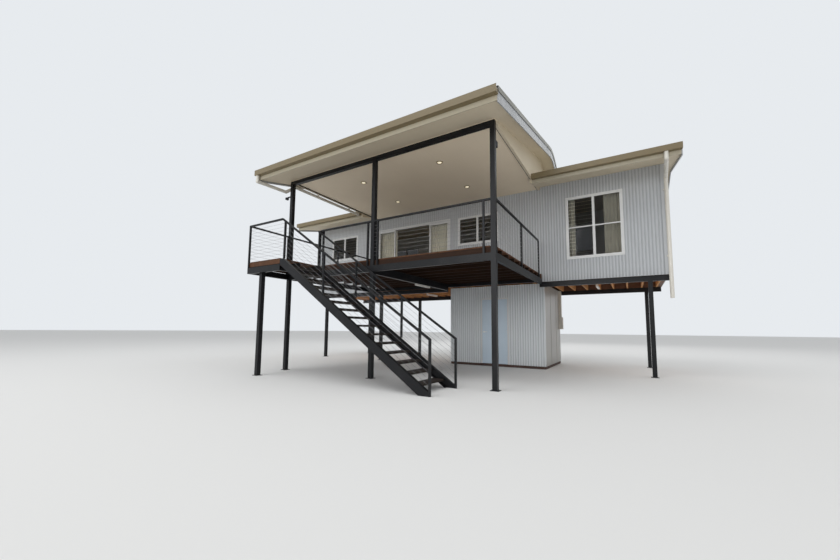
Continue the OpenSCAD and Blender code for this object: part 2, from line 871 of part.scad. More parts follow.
module verandah_soffit() {
    x1 = side_x - fascia_t;
    color([0.86, 0.82, 0.74]) {
        along_x(-x1, x1) intersection() {
            verandah_layer(roof_d - soffit_t, roof_d);
            translate([front_y + fascia_t, 0]) square([deck_y - front_y - fascia_t, far]);
        }
        both_sides() along_x(deck_x, x1) intersection() {
            verandah_layer(roof_d - soffit_t, roof_d);
            translate([deck_y + butt, 0]) square([far, far]);
        }
    }
}

infill_t = 60;
// Height and thickness of the dark trim along the verandah ceiling's sides
trim_h = 30;
trim_t = 12;

// The YZ region of the walls beside the verandah's roof space, down to the ceiling's edge trim
// and round the cut end of the main eave
module infill_outline() {
    low = ceiling_z - trim_h;
    eave_low = min(low, eave_z);
    polygon([
        [deck_y, ceiling_z + butt], [-deck_y + butt, ceiling_z + butt], [-deck_y + butt, low],
        [eave_y, low], [eave_y, eave_low], [eave_y + (low - eave_z) / slope, low], [wall_y, low],
        [wall_y, ceiling_z], [far, ceiling_z], [far, far], [deck_y, far]]);
}

module gable_infills() {
    color([0.86, 0.83, 0.76]) both_sides() along_x(deck_x - infill_t, deck_x) difference() {
        intersection() {
            under_verandah(sheet_t);
            infill_outline();
        }
        intersection() {
            under_main(0, sheet_over);
            translate([wall_y - butt, 0]) square([far, far]);
        }
        translate([ridge_y, 0]) square([far, far]);
    }
}

module verandah_fascia() {
    color([0.85, 0.82, 0.74])
        along_x(-side_x + fascia_t, side_x - fascia_t) translate([front_y, 0]) fascia_section();
}

// The capping's YZ outline: a straight length and a bent one
module verandah_cap() {
    low = cap_h - barge_up;
    polygon([
        [front_y, eave_z + roof_v - low / cos(pitch)], bend_edge(low), bend_edge(-barge_up),
        [front_y, eave_z + roof_v + barge_up / cos(pitch)]]);
    difference() {
        translate(bull_centre) intersection() {
            difference() {
                circle(r = bull_r + barge_up, $fn = 180);
                circle(r = bull_r - low, $fn = 180);
            }
            rotate(pitch) translate([butt, 0]) square([far, far]);
        }
        under_main(0, sheet_over);
    }
}

module verandah_barges() {
    color([0.85, 0.82, 0.74]) both_sides() {
        along_x(side_x - fascia_t, side_x) verandah_layer(-barge_up, roof_d + barge_drop);
        along_x(side_x + butt, side_x + cap_out) verandah_cap();
    }
}

module verandah_gutter() {
    color([0.84, 0.82, 0.74]) translate([0, front_y, 0]) gutter(-side_x, side_x);
}

module verandah_beams() {
    color([0.15, 0.16, 0.18]) {
        block(-deck_x, deck_x, deck_y, -deck_y, ceiling_z - post_s, ceiling_z);
        both_sides() {
            block(deck_x - infill_t - trim_t, deck_x - infill_t, -deck_y + butt, wall_y,
                ceiling_z - trim_h, ceiling_z);
        }
    }
}

module verandah_ceiling() {
    color([0.88, 0.85, 0.78])
        block(-deck_x + infill_t, deck_x - infill_t, deck_y, wall_y, ceiling_z, ceiling_z + lining_t);
}

// Pipes and lights

// A round pipe between two points
module pipe(a, b) {
    v = b - a;
    l = norm(v);
    translate(a) rotate([0, acos(v[2] / l), atan2(v[1], v[0])]) cylinder(d = pipe_d, h = l, $fn = 32);
}

// A round pipe through a list of points, with ball elbows
module pipe_run(points) {
    for (i = [0 : len(points) - 2]) pipe(points[i], points[i + 1]);
    for (i = [1 : len(points) - 2]) translate(points[i]) sphere(d = pipe_d + 6, $fn = 32);
}

gutter_z = eave_z + roof_v + 10 - gutter_h;

// The right downpipe's upright stands past the house's corner
right_pipe_x = half_w + 35;
// The left pipe runs along the verandah's side into the left wing's gutter
left_pipe_x = -deck_x - pipe_d / 2 - 5;
left_pipe_z = ceiling_z - 80;
turn_z = eave_z - barge_drop / 3 - pipe_d / 2 - 17;

module downpipes() {
    right_x = half_w - 10;
    left_x = -side_x + fascia_t + pipe_d / 2 + 3;
    y = wall_y - pipe_d / 2 - pipe_gap;
    y_gutter = eave_y - gutter_w / 2;
    color([0.88, 0.88, 0.85]) {
        pipe_run([[right_x, y_gutter, gutter_z], [right_x, y_gutter, turn_z + 5],
            [right_pipe_x, y, turn_z - 80], [right_pipe_x, y, under_z - 456]]);
        for (z = [deck_z + 200, deck_z + 1900]) {
            block(half_w - 30, right_pipe_x, y, wall_y, z, z + 30);
        }
        pipe_run([
            [left_x, front_y - gutter_w / 2, gutter_z], [left_x, front_y - gutter_w / 2, turn_z],
            [-side_x + 150, deck_y, turn_z - 10], [left_pipe_x, deck_y + 210, left_pipe_z],
            [left_pipe_x, eave_y - gutter_w - butt, left_pipe_z]]);
        for (y_clip = [wall_y * 0.25, wall_y * 0.6]) {
            block(left_pipe_x - 10, -deck_x, y_clip, y_clip + 25, left_pipe_z + 20, ceiling_z - 10);
        }
        duct_y = store_y1 - 130;
        block(store_x1, store_x1 + pipe_d, duct_y, duct_y + pipe_d, 1400, wall_z);
        block(store_x1, store_x1 + 130, duct_y - 20, duct_y + pipe_d + 20, 1200, 1620);
    }
}

module lamps() {
    l = 800;
    color([0.95, 0.95, 0.93]) {
        for (x = [-bay + 1760, bay - 1760], y = [1030, wall_y - 1250]) {
            translate([x, y, ceiling_z - 6]) cylinder(d = 110, h = 6, $fn = 32);
        }
        block(-30, 30, wall_y - 2080, wall_y - 2080 + l, bearer_z - 50, bearer_z);
        for (i = [11, floor_joist_n - 4]) {
            xf = floor_joist_x(i) + joist_t / 2;
            block(xf - 30, xf + 30, rear_y - 1630, rear_y - 1630 + l, wall_z - 60, wall_z);
        }
    }
}

module spotlights() {
    color([0.15, 0.15, 0.16]) {
        translate([bay, post_s / 2, ceiling_z - 400]) {
            translate([-15, 0, -15]) cube([30, 90, 30]);
            translate([-25, 90, -70]) cube([50, 90, 120]);
        }
        translate([-bay - post_s / 2, 0, ceiling_z - 420]) {
            translate([-170, -15, -15]) cube([170, 30, 30]);
            translate([-230, -40, -60]) cube([60, 80, 60]);
        }
    }
}

// Ground room

door_x0 = store_x0 + door_x - door_w / 2;
door_x1 = door_x0 + door_w;
frame_x0 = door_x0 - door_gap - jamb_w;
frame_x1 = door_x1 + door_gap + jamb_w;
door_z0 = slab_t + door_gap;
door_z1 = door_z0 + door_h;
frame_z1 = door_z1 + door_gap + jamb_w;

module store_slab() {
    color([0.55, 0.40, 0.34]) block(store_x0, store_x1, store_y0, store_y1, 0, slab_t);
}

module store_front_wall() {
    color([0.88, 0.88, 0.85]) {
        block(store_x0, frame_x0, store_y0, store_y0 + store_wall_t, slab_t, wall_z);
        block(frame_x1, store_x1, store_y0, store_y0 + store_wall_t, slab_t, wall_z);
        block(frame_x0 + butt, frame_x1 - butt, store_y0, store_y0 + store_wall_t, frame_z1, wall_z);
    }
}

module store_walls() {
    yr = store_y1 - store_wall_t;
    color([0.88, 0.88, 0.85]) {
        for (x = [store_x0, store_x1 - store_wall_t]) {
            block(x, x + store_wall_t, store_y0 + store_wall_t, yr - butt, slab_t, wall_z);
        }
        block(store_x0, store_x1, yr, store_y1, slab_t, wall_z);
    }
}

hinge_y = store_y0 - hinge_r;
hinge_x = door_x1 + door_gap / 2;
hinge_zs = [for (f = [0.1, 0.5, 0.9]) door_z0 + door_h * f - hinge_h / 2];
plate_hinge_t = 3;

module store_door_frame() {
    color([0.90, 0.90, 0.88]) {
        for (s = [0, 1]) {
            x = s == 0 ? frame_x0 : frame_x1 - jamb_w;
            block(x, x + jamb_w, store_y0, store_y0 + store_wall_t, slab_t, frame_z1 - jamb_w - butt);
        }
        block(frame_x0, frame_x1, store_y0, store_y0 + store_wall_t, frame_z1 - jamb_w, frame_z1);
        for (z = hinge_zs) {
            for (k = [0, 2]) translate([hinge_x, hinge_y, z + k * hinge_h / 3]) {
                cylinder(r = hinge_r, h = hinge_h / 3 - 0.3);
            }
            for (k = [0, 2]) {
                block(hinge_x + hinge_r - 4, door_x1 + door_gap + jamb_w - 5,
                    store_y0 - plate_hinge_t, store_y0,
                    z + k * hinge_h / 3, z + (k + 1) * hinge_h / 3 - 0.3);
            }
        }
    }
}

module store_door() {
    color([0.62, 0.68, 0.74]) {
        block(door_x0, door_x1, store_y0, store_y0 + door_t, door_z0, door_z1);
        for (z = hinge_zs) {
            translate([hinge_x, hinge_y, z + hinge_h / 3]) cylinder(r = hinge_r, h = hinge_h / 3 - 0.3);
            block(hinge_x - 40, hinge_x - hinge_r + 4, store_y0 - plate_hinge_t, store_y0,
                z + hinge_h / 3, z + 2 * hinge_h / 3 - 0.3);
        }
    }
}

module store_door_handle() {
    x = door_x0 + 60;
    z = door_z0 + 1000;
    color([0.75, 0.75, 0.76]) for (side = [0, 1]) {
        y = side == 0 ? store_y0 : store_y0 + door_t;
        translate([x, y, z]) mirror([0, side, 0]) {
            rotate([90, 0, 0]) cylinder(r = 26, h = 8);
            rotate([90, 0, 0]) cylinder(r = 9, h = 50);
            translate([0, -50, 0]) rotate([0, 90, 0]) cylinder(r = 9, h = 115);
        }
    }
}

posts();
floor_beams();
floor_joists();
house_floor();
deck_beams();
deck_joists();
deck_floor();
landing_frame();
landing_floor();
stair_stringers();
stair_treads();
stair_rails();
deck_rails();
front_wall_left();
front_wall_over_door();
front_wall_right();
rear_wall();
end_walls();
house_ceiling();
window_frames();
window_glass();
slider_frame();
slider_leaves();
main_roof();
main_soffit();
main_fascia();
main_barges();
main_gutters();
verandah_beams();
verandah_ceiling();
verandah_roof();
verandah_soffit();
gable_infills();
verandah_fascia();
verandah_barges();
verandah_gutter();
downpipes();
lamps();
spotlights();
store_slab();
store_front_wall();
store_walls();
store_door_frame();
store_door();
store_door_handle();
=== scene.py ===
"""Dresses the stilt house: sheet cladding, boards, trims, finishes, studio and camera."""
from __future__ import annotations

import json
import logging
import math
from dataclasses import dataclass, field
from enum import Enum
from typing import Any, Callable, Mapping, Optional, Sequence, Union

import bmesh
import bpy
from mathutils import Matrix, Vector

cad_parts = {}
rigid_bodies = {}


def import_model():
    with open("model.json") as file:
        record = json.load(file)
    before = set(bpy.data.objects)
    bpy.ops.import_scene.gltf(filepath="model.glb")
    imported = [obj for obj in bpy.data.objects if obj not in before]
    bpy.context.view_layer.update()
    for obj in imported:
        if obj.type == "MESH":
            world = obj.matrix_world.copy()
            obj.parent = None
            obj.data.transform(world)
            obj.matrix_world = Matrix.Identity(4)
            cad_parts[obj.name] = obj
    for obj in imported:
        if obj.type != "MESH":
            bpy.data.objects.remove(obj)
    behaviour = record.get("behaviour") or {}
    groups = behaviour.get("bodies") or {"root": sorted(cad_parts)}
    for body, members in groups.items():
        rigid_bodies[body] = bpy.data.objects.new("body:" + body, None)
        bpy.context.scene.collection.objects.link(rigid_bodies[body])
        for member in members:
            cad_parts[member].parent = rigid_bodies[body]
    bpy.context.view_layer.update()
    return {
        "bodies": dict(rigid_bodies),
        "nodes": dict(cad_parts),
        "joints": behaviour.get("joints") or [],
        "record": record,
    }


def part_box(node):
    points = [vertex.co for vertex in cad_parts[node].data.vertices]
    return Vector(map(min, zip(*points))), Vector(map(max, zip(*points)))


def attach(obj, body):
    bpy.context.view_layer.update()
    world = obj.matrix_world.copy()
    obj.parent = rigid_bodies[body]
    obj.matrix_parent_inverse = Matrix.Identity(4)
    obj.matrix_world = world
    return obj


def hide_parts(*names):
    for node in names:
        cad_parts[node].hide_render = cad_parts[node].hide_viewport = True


LOG = logging.getLogger("stilt_house")
Pair = tuple[float, float]
Triple = tuple[float, float, float]
Value = Union["Sock", float]
Bound = Callable[[float], float]
Inputs = Mapping[Union[str, int], Any]
HOUSE = "house"
FINE = 1e5  # points nearer than 1 / FINE metres are one
SHARP = 0.5  # edges folded by more radians than this are bevelled
BOX_RINGS = (
    (3, 2, 1, 0), (4, 5, 6, 7), (0, 1, 5, 4), (1, 2, 6, 5), (2, 3, 7, 6), (3, 0, 4, 7),
)


class Axis(Enum):
    """A direction of the house's own frame."""

    X = 0
    Y = 1
    Z = 2


# Shader tools


class Sock:
    """A shader value that can be used in ordinary arithmetic."""

    def __init__(self, nodes: Nodes, socket: bpy.types.NodeSocket) -> None:
        """Keeps the tree's nodes and the output socket."""
        self.nodes = nodes
        self.socket = socket

    def _math(self, operation: str, *values: Value) -> Sock:
        """Adds a Math node with these inputs and wraps its result."""
        inputs = dict(enumerate(values))
        return self.nodes.value("ShaderNodeMath", {"operation": operation}, inputs, "Value")

    def __add__(self, other: Value) -> Sock:
        """Sum."""
        return self._math("ADD", self, other)

    __radd__ = __add__

    def __sub__(self, other: Value) -> Sock:
        """Difference."""
        return self._math("SUBTRACT", self, other)

    def __rsub__(self, other: Value) -> Sock:
        """Difference from the right."""
        return self._math("SUBTRACT", other, self)

    def __mul__(self, other: Value) -> Sock:
        """Product."""
        return self._math("MULTIPLY", self, other)

    __rmul__ = __mul__

    def __truediv__(self, other: Value) -> Sock:
        """Quotient."""
        return self._math("DIVIDE", self, other)

    def __rtruediv__(self, other: Value) -> Sock:
        """Quotient from the right."""
        return self._math("DIVIDE", other, self)

    def __gt__(self, other: Value) -> Sock:
        """1 where this is greater."""
        return self._math("GREATER_THAN", self, other)

    def __lt__(self, other: Value) -> Sock:
        """1 where this is less."""
        return self._math("LESS_THAN", self, other)

    def floor(self) -> Sock:
        """Rounded down."""
        return self._math("FLOOR", self)

    def fract(self) -> Sock:
        """The part after the point."""
        return self._math("FRACT", self)

    def absolute(self) -> Sock:
        """Without its sign."""
        return self._math("ABSOLUTE", self)

    def smaller(self, other: Value) -> Sock:
        """The smaller of the two."""
        return self._math("MINIMUM", self, other)

    def larger(self, other: Value) -> Sock:
        """The larger of the two."""
        return self._math("MAXIMUM", self, other)

    def between(self, low: float, high: float) -> Sock:
        """This value's way from low (0) to high (1), kept within 0 and 1."""
        return ((self - low) / (high - low)).larger(0.0).smaller(1.0)


class Nodes:
    """A node tree, emptied, and the one way of adding nodes to it."""

    def __init__(self, tree: bpy.types.NodeTree) -> None:
        """Empties the tree and keeps it."""
        tree.nodes.clear()
        self.tree = tree

    def node(self, kind: str, settings: Mapping[str, Any], inputs: Inputs) -> bpy.types.Node:
        """Adds a node, sets it up and feeds it.

        Args:
            kind: The node's type.
            settings: Its properties, or "stops" for a ramp's colours.
            inputs: What goes into its sockets: a value, or a link.

        Returns:
            The node.
        """
        made = self.tree.nodes.new(kind)
        for key, setting in settings.items():
            if key == "stops":
                ramp = made.color_ramp
                while len(ramp.elements) < len(setting):
                    ramp.elements.new(0.5)
                for element, (position, colour) in zip(ramp.elements, setting):
                    element.position = position
                    element.color = (*colour, 1.0)
            else:
                setattr(made, key, setting)
        for key, given in inputs.items():
            self.feed(made.inputs[key], given)
        return made

    def feed(self, socket: bpy.types.NodeSocket, given: Any) -> None:
        """Gives a socket its link or its constant.

        Args:
            socket: The input socket.
            given: A Sock, an output socket, a number or a tuple.
        """
        source = given.socket if isinstance(given, Sock) else given
        if isinstance(source, bpy.types.NodeSocket):
            self.tree.links.new(source, socket)
        elif isinstance(given, tuple) and len(given) == 3 and socket.type == "RGBA":
            socket.default_value = (*given, 1.0)
        else:
            socket.default_value = given

    def value(
        self, kind: str, settings: Mapping[str, Any], inputs: Inputs, out: Union[str, int] = 0
    ) -> Sock:
        """Adds a node, as node() does, and wraps the output of this name or number."""
        return Sock(self, self.node(kind, settings, inputs).outputs[out])


class Graph(Nodes):
    """One material's node tree, with a single shader at its end."""

    def __init__(self, name: str) -> None:
        """Starts a material of this name with its shader and output."""
        self.material = bpy.data.materials.new(name)
        self.material.use_nodes = True
        super().__init__(self.material.node_tree)
        self.shader = self.node("ShaderNodeBsdfPrincipled", {}, {})
        self.node("ShaderNodeOutputMaterial", {}, {0: self.shader.outputs[0]})
        self.place = self.node("ShaderNodeTexCoord", {}, {}).outputs["Object"]

    def along(self, axis: Axis) -> Sock:
        """The point's place along one axis, in metres."""
        return self.value("ShaderNodeSeparateXYZ", {}, {0: self.place}, axis.value)

    def noise(self, scale: float, detail: float, stretch: Triple = (1.0, 1.0, 1.0)) -> Sock:
        """Soft noise in the house's frame.

        Args:
            scale: Features a metre.
            detail: How many finer layers are added.
            stretch: The scale along each axis.

        Returns:
            A value from 0 to 1.
        """
        spread = {0: self.place, 1: stretch}
        point = self.value("ShaderNodeVectorMath", {"operation": "MULTIPLY"}, spread)
        inputs = {"Vector": point, "Scale": scale, "Detail": detail}
        return self.value("ShaderNodeTexNoise", {}, inputs, "Fac")

    def dice(self, number: Sock) -> Sock:
        """A steady random value for each whole number."""
        settings = {"noise_dimensions": "1D"}
        return self.value("ShaderNodeTexWhiteNoise", settings, {"W": number}, "Value")

    def ramp(self, value: Sock, stops: Sequence[tuple[float, Triple]]) -> Sock:
        """Colours read off a ramp by a value."""
        return self.value("ShaderNodeValToRGB", {"stops": stops}, {0: value}, "Color")

    def mix(self, factor: Value, low: Any, high: Any) -> Sock:
        """The colour between low, at factor 0, and high, at factor 1."""
        return self.value("ShaderNodeMix", {"data_type": "RGBA"}, {0: factor, 6: low, 7: high}, 2)

    def bump(self, height: Sock, strength: float, distance: float) -> None:
        """Feeds a height into the shader's normal, where 1 stands for distance in metres."""
        inputs = {"Strength": strength, "Distance": distance, "Height": height}
        self.dress(Normal=self.node("ShaderNodeBump", {}, inputs).outputs[0])

    def dress(self, **sockets: Any) -> None:
        """Feeds the shader's sockets, named with _ for a blank."""
        for name, given in sockets.items():
            self.feed(self.shader.inputs[name.replace("_", " ")], given)


# Finishes


@dataclass(frozen=True)
class Finish:
    """A finish that pieces are dressed in."""

    name: str
    colour: Triple

    def build(self) -> bpy.types.Material:
        """Makes the finish's material.

        Returns:
            The material.
        """
        graph = Graph(self.name)
        self.paint(graph)
        return graph.material

    def paint(self, graph: Graph) -> None:
        """Feeds the shader, in each finish's own way."""
        raise NotImplementedError

    def shade(self, amount: float) -> Triple:
        """The colour with each channel multiplied by an amount."""
        red, green, blue = (min(1.0, c * amount) for c in self.colour)
        return (red, green, blue)


@dataclass(frozen=True)
class BlackPaint(Finish):
    """Satin black paint on steel, with a little dust in patches."""

    dust: Triple = (0.10, 0.095, 0.09)
    gloss: float = 0.38

    def paint(self, graph: Graph) -> None:
        """Makes the paint with its dust and its brushed unevenness.

        Args:
            graph: The material's nodes.
        """
        cloud = graph.noise(2.2, 4.0).between(0.45, 0.8)
        dusty = (cloud * graph.noise(40.0, 3.0).between(0.35, 0.75)) * 0.3
        graph.bump(graph.noise(180.0, 2.0), 0.10, 0.0006)
        graph.dress(
            Base_Color=graph.mix(dusty, self.colour, self.dust),
            Roughness=self.gloss + dusty * 0.6,
            Specular_IOR_Level=0.22,
        )


@dataclass(frozen=True)
class SheetPaint(Finish):
    """Factory paint on steel sheet: faint streaks, painted shade in the grooves and dirt at the
    lower edge.
    """

    foot: float = 2.56
    streak: float = 0.10
    groove: float = 0.75

    def paint(self, graph: Graph) -> None:
        """Makes the paint with its streaks, its painted groove shade and its dusty foot.

        Args:
            graph: The material's nodes.
        """
        streaks = graph.noise(9.0, 4.0, (1.0, 1.0, 0.06)).between(0.45, 0.8)
        cloud = graph.noise(1.1, 3.0).between(0.3, 0.8)
        rise = graph.along(Axis.Z) - self.foot
        splash = (1.0 - rise.absolute().between(0.0, 0.22)) * graph.noise(14.0, 4.0)
        # painted shade in the grooves: the deeper a point lies in a groove, the darker its colour
        groove = graph.value("ShaderNodeAttribute", {"attribute_name": "groove"}, {}, "Fac")
        dust = groove * groove * self.groove
        dirt_and_groove_shade = (streaks * self.streak + cloud * 0.06 + splash * 0.30 + dust).smaller(1.0)
        graph.bump(graph.noise(60.0, 2.0), 0.05, 0.0006)
        graph.dress(
            Base_Color=graph.mix(dirt_and_groove_shade, self.colour, self.shade(0.62)),
            Roughness=0.36 + dirt_and_groove_shade * 0.35,
        )


@dataclass(frozen=True)
class WallCore(Finish):
    """What the wall sheets cover: sawn timber below the floor and painted lining above it."""

    floor: float = 2.8
    timber: tuple[Triple, Triple] = ((0.10, 0.042, 0.020), (0.17, 0.075, 0.035))

    def paint(self, graph: Graph) -> None:
        """Makes the timber foot and the lining over it.

        Args:
            graph: The material's nodes.
        """
        grain = graph.noise(60.0, 3.0, (0.06, 1.0, 1.0)).between(0.3, 0.7)
        cloud = graph.noise(1.5, 3.0).between(0.4, 0.8)
        lining = graph.mix(cloud * 0.15, self.colour, self.shade(0.75))
        high = graph.along(Axis.Z) > self.floor
        graph.bump(grain * (1.0 - high), 0.2, 0.001)
        graph.dress(
            Base_Color=graph.mix(high, graph.mix(grain, *self.timber), lining),
            Roughness=0.6 + cloud * 0.08,
        )


@dataclass(frozen=True)
class Cloth(Finish):
    """Woven cloth with the faint lines of its yarns."""

    def paint(self, graph: Graph) -> None:
        """Makes the weave.

        Args:
            graph: The material's nodes.
        """
        weave = graph.noise(420.0, 2.0, (1.0, 1.0, 0.25))
        cloud = graph.noise(2.5, 3.0)
        graph.bump(weave, 0.2, 0.0006)
        graph.dress(
            Base_Color=graph.mix(weave * 0.35 + cloud * 0.15, self.colour, self.shade(0.72)),
            Roughness=0.86 + cloud * 0.08,
        )


@dataclass(frozen=True)
class Timber(Finish):
    """Sawn or dressed timber with grain along one axis and its own tone for each board."""

    grain: Axis = Axis.Y
    across: Axis = Axis.X
    pitch: float = 0.094
    start: float = 0.0
    variety: float = 0.5
    gloss: float = 0.7

    def paint(self, graph: Graph) -> None:
        """Makes the grain, the boards' tones and the weathering.

        Args:
            graph: The material's nodes.
        """
        board = ((graph.along(self.across) - self.start) / self.pitch).floor()
        stretch = tuple(0.05 if axis is self.grain else 1.0 for axis in Axis)
        fine, broad = graph.noise(120.0, 3.0, stretch), graph.noise(18.0, 3.0, stretch)
        vein = (fine * 0.6 + broad * 0.4).between(0.3, 0.7)
        grown = graph.ramp(
            vein, [(0.0, self.shade(0.55)), (0.5, self.colour), (1.0, self.shade(1.35))]
        )
        aged = graph.mix(graph.dice(board) * self.variety, grown, self.shade(0.5))
        worn = graph.noise(1.3, 4.0).between(0.5, 0.85) * 0.25
        graph.bump(vein, 0.25, 0.0012)
        graph.dress(
            Base_Color=graph.mix(worn, aged, self.shade(2.2)),
            Roughness=self.gloss + worn * 0.6,
            Specular_IOR_Level=0.2,
        )


@dataclass(frozen=True)
class Lining(Finish):
    """Painted lining sheets with joints at an even spacing along X."""

    spacing: float = 1.2
    start: float = 0.0
    joint: float = 0.008

    def paint(self, graph: Graph) -> None:
        """Makes the paint with its joints and its slight mottling.

        Args:
            graph: The material's nodes.
        """
        place = ((graph.along(Axis.X) - self.start) / self.spacing).fract()
        seam = (place - 0.5).absolute() > 0.5 - self.joint / 2 / self.spacing
        cloud = graph.noise(0.9, 4.0).between(0.35, 0.8)
        tired = (cloud * 0.16 + seam * 0.16).smaller(1.0)
        graph.bump(graph.noise(35.0, 3.0) * 0.15 + (1.0 - seam), 0.15, 0.0010)
        graph.dress(
            Base_Color=graph.mix(tired, self.colour, self.shade(0.68)),
            Roughness=0.62 + cloud * 0.1,
        )


@dataclass(frozen=True)
class TrimPaint(Finish):
    """Smooth paint on folded trims, frames, pipes and the door, dusty in patches."""

    gloss: float = 0.32

    def paint(self, graph: Graph) -> None:
        """Makes the paint with its faint dust.

        Args:
            graph: The material's nodes.
        """
        cloud = graph.noise(1.6, 5.0).between(0.4, 0.85)
        runs = graph.noise(22.0, 3.0, (1.0, 1.0, 0.1)).between(0.5, 0.85)
        tired = cloud * 0.14 + runs * 0.10
        graph.bump(graph.noise(25.0, 2.0), 0.05, 0.0003)
        graph.dress(
            Base_Color=graph.mix(tired, self.colour, self.shade(0.6)),
            Roughness=self.gloss + tired,
        )


@dataclass(frozen=True)
class Pane(Finish):
    """Dark tinted window glass, clearer in the sliding door and deeper at the rear."""

    dust: Triple = (0.20, 0.21, 0.20)
    door_left: float = -3.0
    door_right: float = 0.06
    door_back: float = 5.0

    def paint(self, graph: Graph) -> None:
        """Makes the glass, a little dusty.

        Args:
            graph: The material's nodes.
        """
        dusty = graph.noise(3.0, 4.0).between(0.45, 0.9)
        across = graph.along(Axis.X)
        in_door = (across > self.door_left) * (across < self.door_right)
        deep = graph.along(Axis.Y) > self.door_back
        clear = in_door * (1.0 - deep)
        graph.dress(
            Base_Color=graph.mix(dusty * 0.06, self.colour, self.dust),
            Roughness=0.03 + dusty * 0.08,
            Alpha=0.27 + dusty * 0.05 - clear * 0.23 + deep * 0.5,
            Specular_IOR_Level=0.2,
            IOR=1.5,
        )


@dataclass(frozen=True)
class Concrete(Finish):
    """Bare slab concrete, stained by red earth."""

    def paint(self, graph: Graph) -> None:
        """Makes the concrete with its stains and its pores.

        Args:
            graph: The material's nodes.
        """
        cloud, grit = graph.noise(2.5, 5.0), graph.noise(90.0, 3.0)
        stops = [(0.3, self.shade(0.7)), (0.5, self.colour), (0.72, self.shade(1.7))]
        graph.bump(grit, 0.35, 0.002)
        graph.dress(
            Base_Color=graph.ramp(cloud * 0.7 + grit * 0.3, stops), Roughness=0.82 + cloud * 0.1
        )


@dataclass(frozen=True)
class Lamp(Finish):
    """A white lamp housing that glows warm where it is set into the ceiling."""

    glow: Triple = (1.0, 0.86, 0.58)
    ceiling: float = 5.2

    def paint(self, graph: Graph) -> None:
        """Makes the housing and its glow.

        Args:
            graph: The material's nodes.
        """
        high = graph.along(Axis.Z) > self.ceiling
        haze = graph.noise(30.0, 2.0) * 0.2
        graph.dress(
            Base_Color=graph.mix(haze, self.colour, self.shade(0.85)),
            Roughness=0.3,
            Emission_Color=graph.mix(high, (0.0, 0.0, 0.0), self.glow),
            Emission_Strength=0.75,
        )


@dataclass(frozen=True)
class BrushedMetal(Finish):
    """Bare brushed metal."""

    def paint(self, graph: Graph) -> None:
        """Makes the metal with its brush lines.

        Args:
            graph: The material's nodes.
        """
        lines = graph.noise(900.0, 2.0, (0.05, 1.0, 1.0))
        graph.bump(lines, 0.1, 0.0002)
        graph.dress(
            Base_Color=graph.mix(lines * 0.4, self.colour, self.shade(0.8)),
            Roughness=0.28 + lines * 0.15,
            Metallic=1.0,
        )


class Rack:
    """Holds the finishes and makes each material once."""

    def __init__(self) -> None:
        """Lists the finishes by name."""
        listed: list[Finish] = [
            BlackPaint("black_steel", (0.010, 0.0105, 0.012)),
            Timber("joist_timber", (0.58, 0.29, 0.12), pitch=0.3985, start=-6.2),
            Timber("floor_sheet", (0.86, 0.46, 0.18), pitch=1.2, variety=0.2),
            Timber("deck_timber", (0.105, 0.044, 0.019), start=-3.01, gloss=0.5),
            # the deck joists' timber: its brown is its own, its near-black darkness is painted
            # shade under the deck
            Timber("deck_joist_timber", (0.032, 0.014, 0.007), Axis.X, Axis.Y, 0.44),
            Timber("tread_timber", (0.030, 0.023, 0.019), pitch=0.255, start=0.01),
            SheetPaint("wall_sheet", (0.54, 0.56, 0.58)),
            WallCore("wall_core", (0.78, 0.77, 0.73)),
            SheetPaint("store_sheet", (0.74, 0.775, 0.795), 0.08, 0.06),
            # the store's side and rear finish: its beige tone is its own, its darkness is painted
            # shade from the house above
            SheetPaint("store_side", (0.42, 0.41, 0.385), 0.08, 0.10),
            Lining("lining", (0.91, 0.79, 0.61), 1.22),
            Lining("soffit_lining", (0.70, 0.61, 0.46), 2.4, 0.6),
            SheetPaint("roof_sheet", (0.70, 0.69, 0.64), 0.0, 0.14),
            TrimPaint("trim", (0.50, 0.45, 0.34)),
            TrimPaint("barge_paint", (0.41, 0.42, 0.43)),
            # the cap paint: a grey darkened as painted shade on the cappings
            TrimPaint("cap_metal_shaded", (0.24, 0.235, 0.20), 0.4),
            # the gutters' paint: the trim's cream darkened as painted shade
            TrimPaint("gutter_metal", (0.20, 0.156, 0.085), 0.34),
            TrimPaint("white_frame", (0.72, 0.725, 0.72), 0.3),
            Pane("pane", (0.012, 0.014, 0.016)),
            TrimPaint("white_pipe", (0.74, 0.71, 0.64), 0.22),
            Cloth("curtain", (0.92, 0.89, 0.75)),
            Cloth("floor_covering", (0.15, 0.145, 0.14)),
            Lamp("lamp", (0.85, 0.83, 0.78)),
            Concrete("slab", (0.075, 0.045, 0.036)),
            TrimPaint("door_paint", (0.58, 0.69, 0.79), 0.36),
            BrushedMetal("handle_metal", (0.90, 0.90, 0.88)),
            BrushedMetal("rim_metal", (0.34, 0.28, 0.14)),
            BrushedMetal("wire_metal", (0.42, 0.42, 0.43)),
        ]
        self._listed = {finish.name: finish for finish in listed}
        self._made: dict[str, bpy.types.Material] = {}

    def take(self, name: str) -> bpy.types.Material:
        """A finish's material, made at its first use.

        Args:
            name: The finish's name.

        Returns:
            The material.
        """
        if name not in self._made:
            self._made[name] = self._listed[name].build()
        return self._made[name]


# Mesh tools


def put(name: str, data: bpy.types.ID) -> bpy.types.Object:
    """Puts a new object into the scene.

    Args:
        name: Its name.
        data: Its mesh, lamp or camera.

    Returns:
        The object.
    """
    made = bpy.data.objects.new(name, data)
    bpy.context.scene.collection.objects.link(made)
    return made


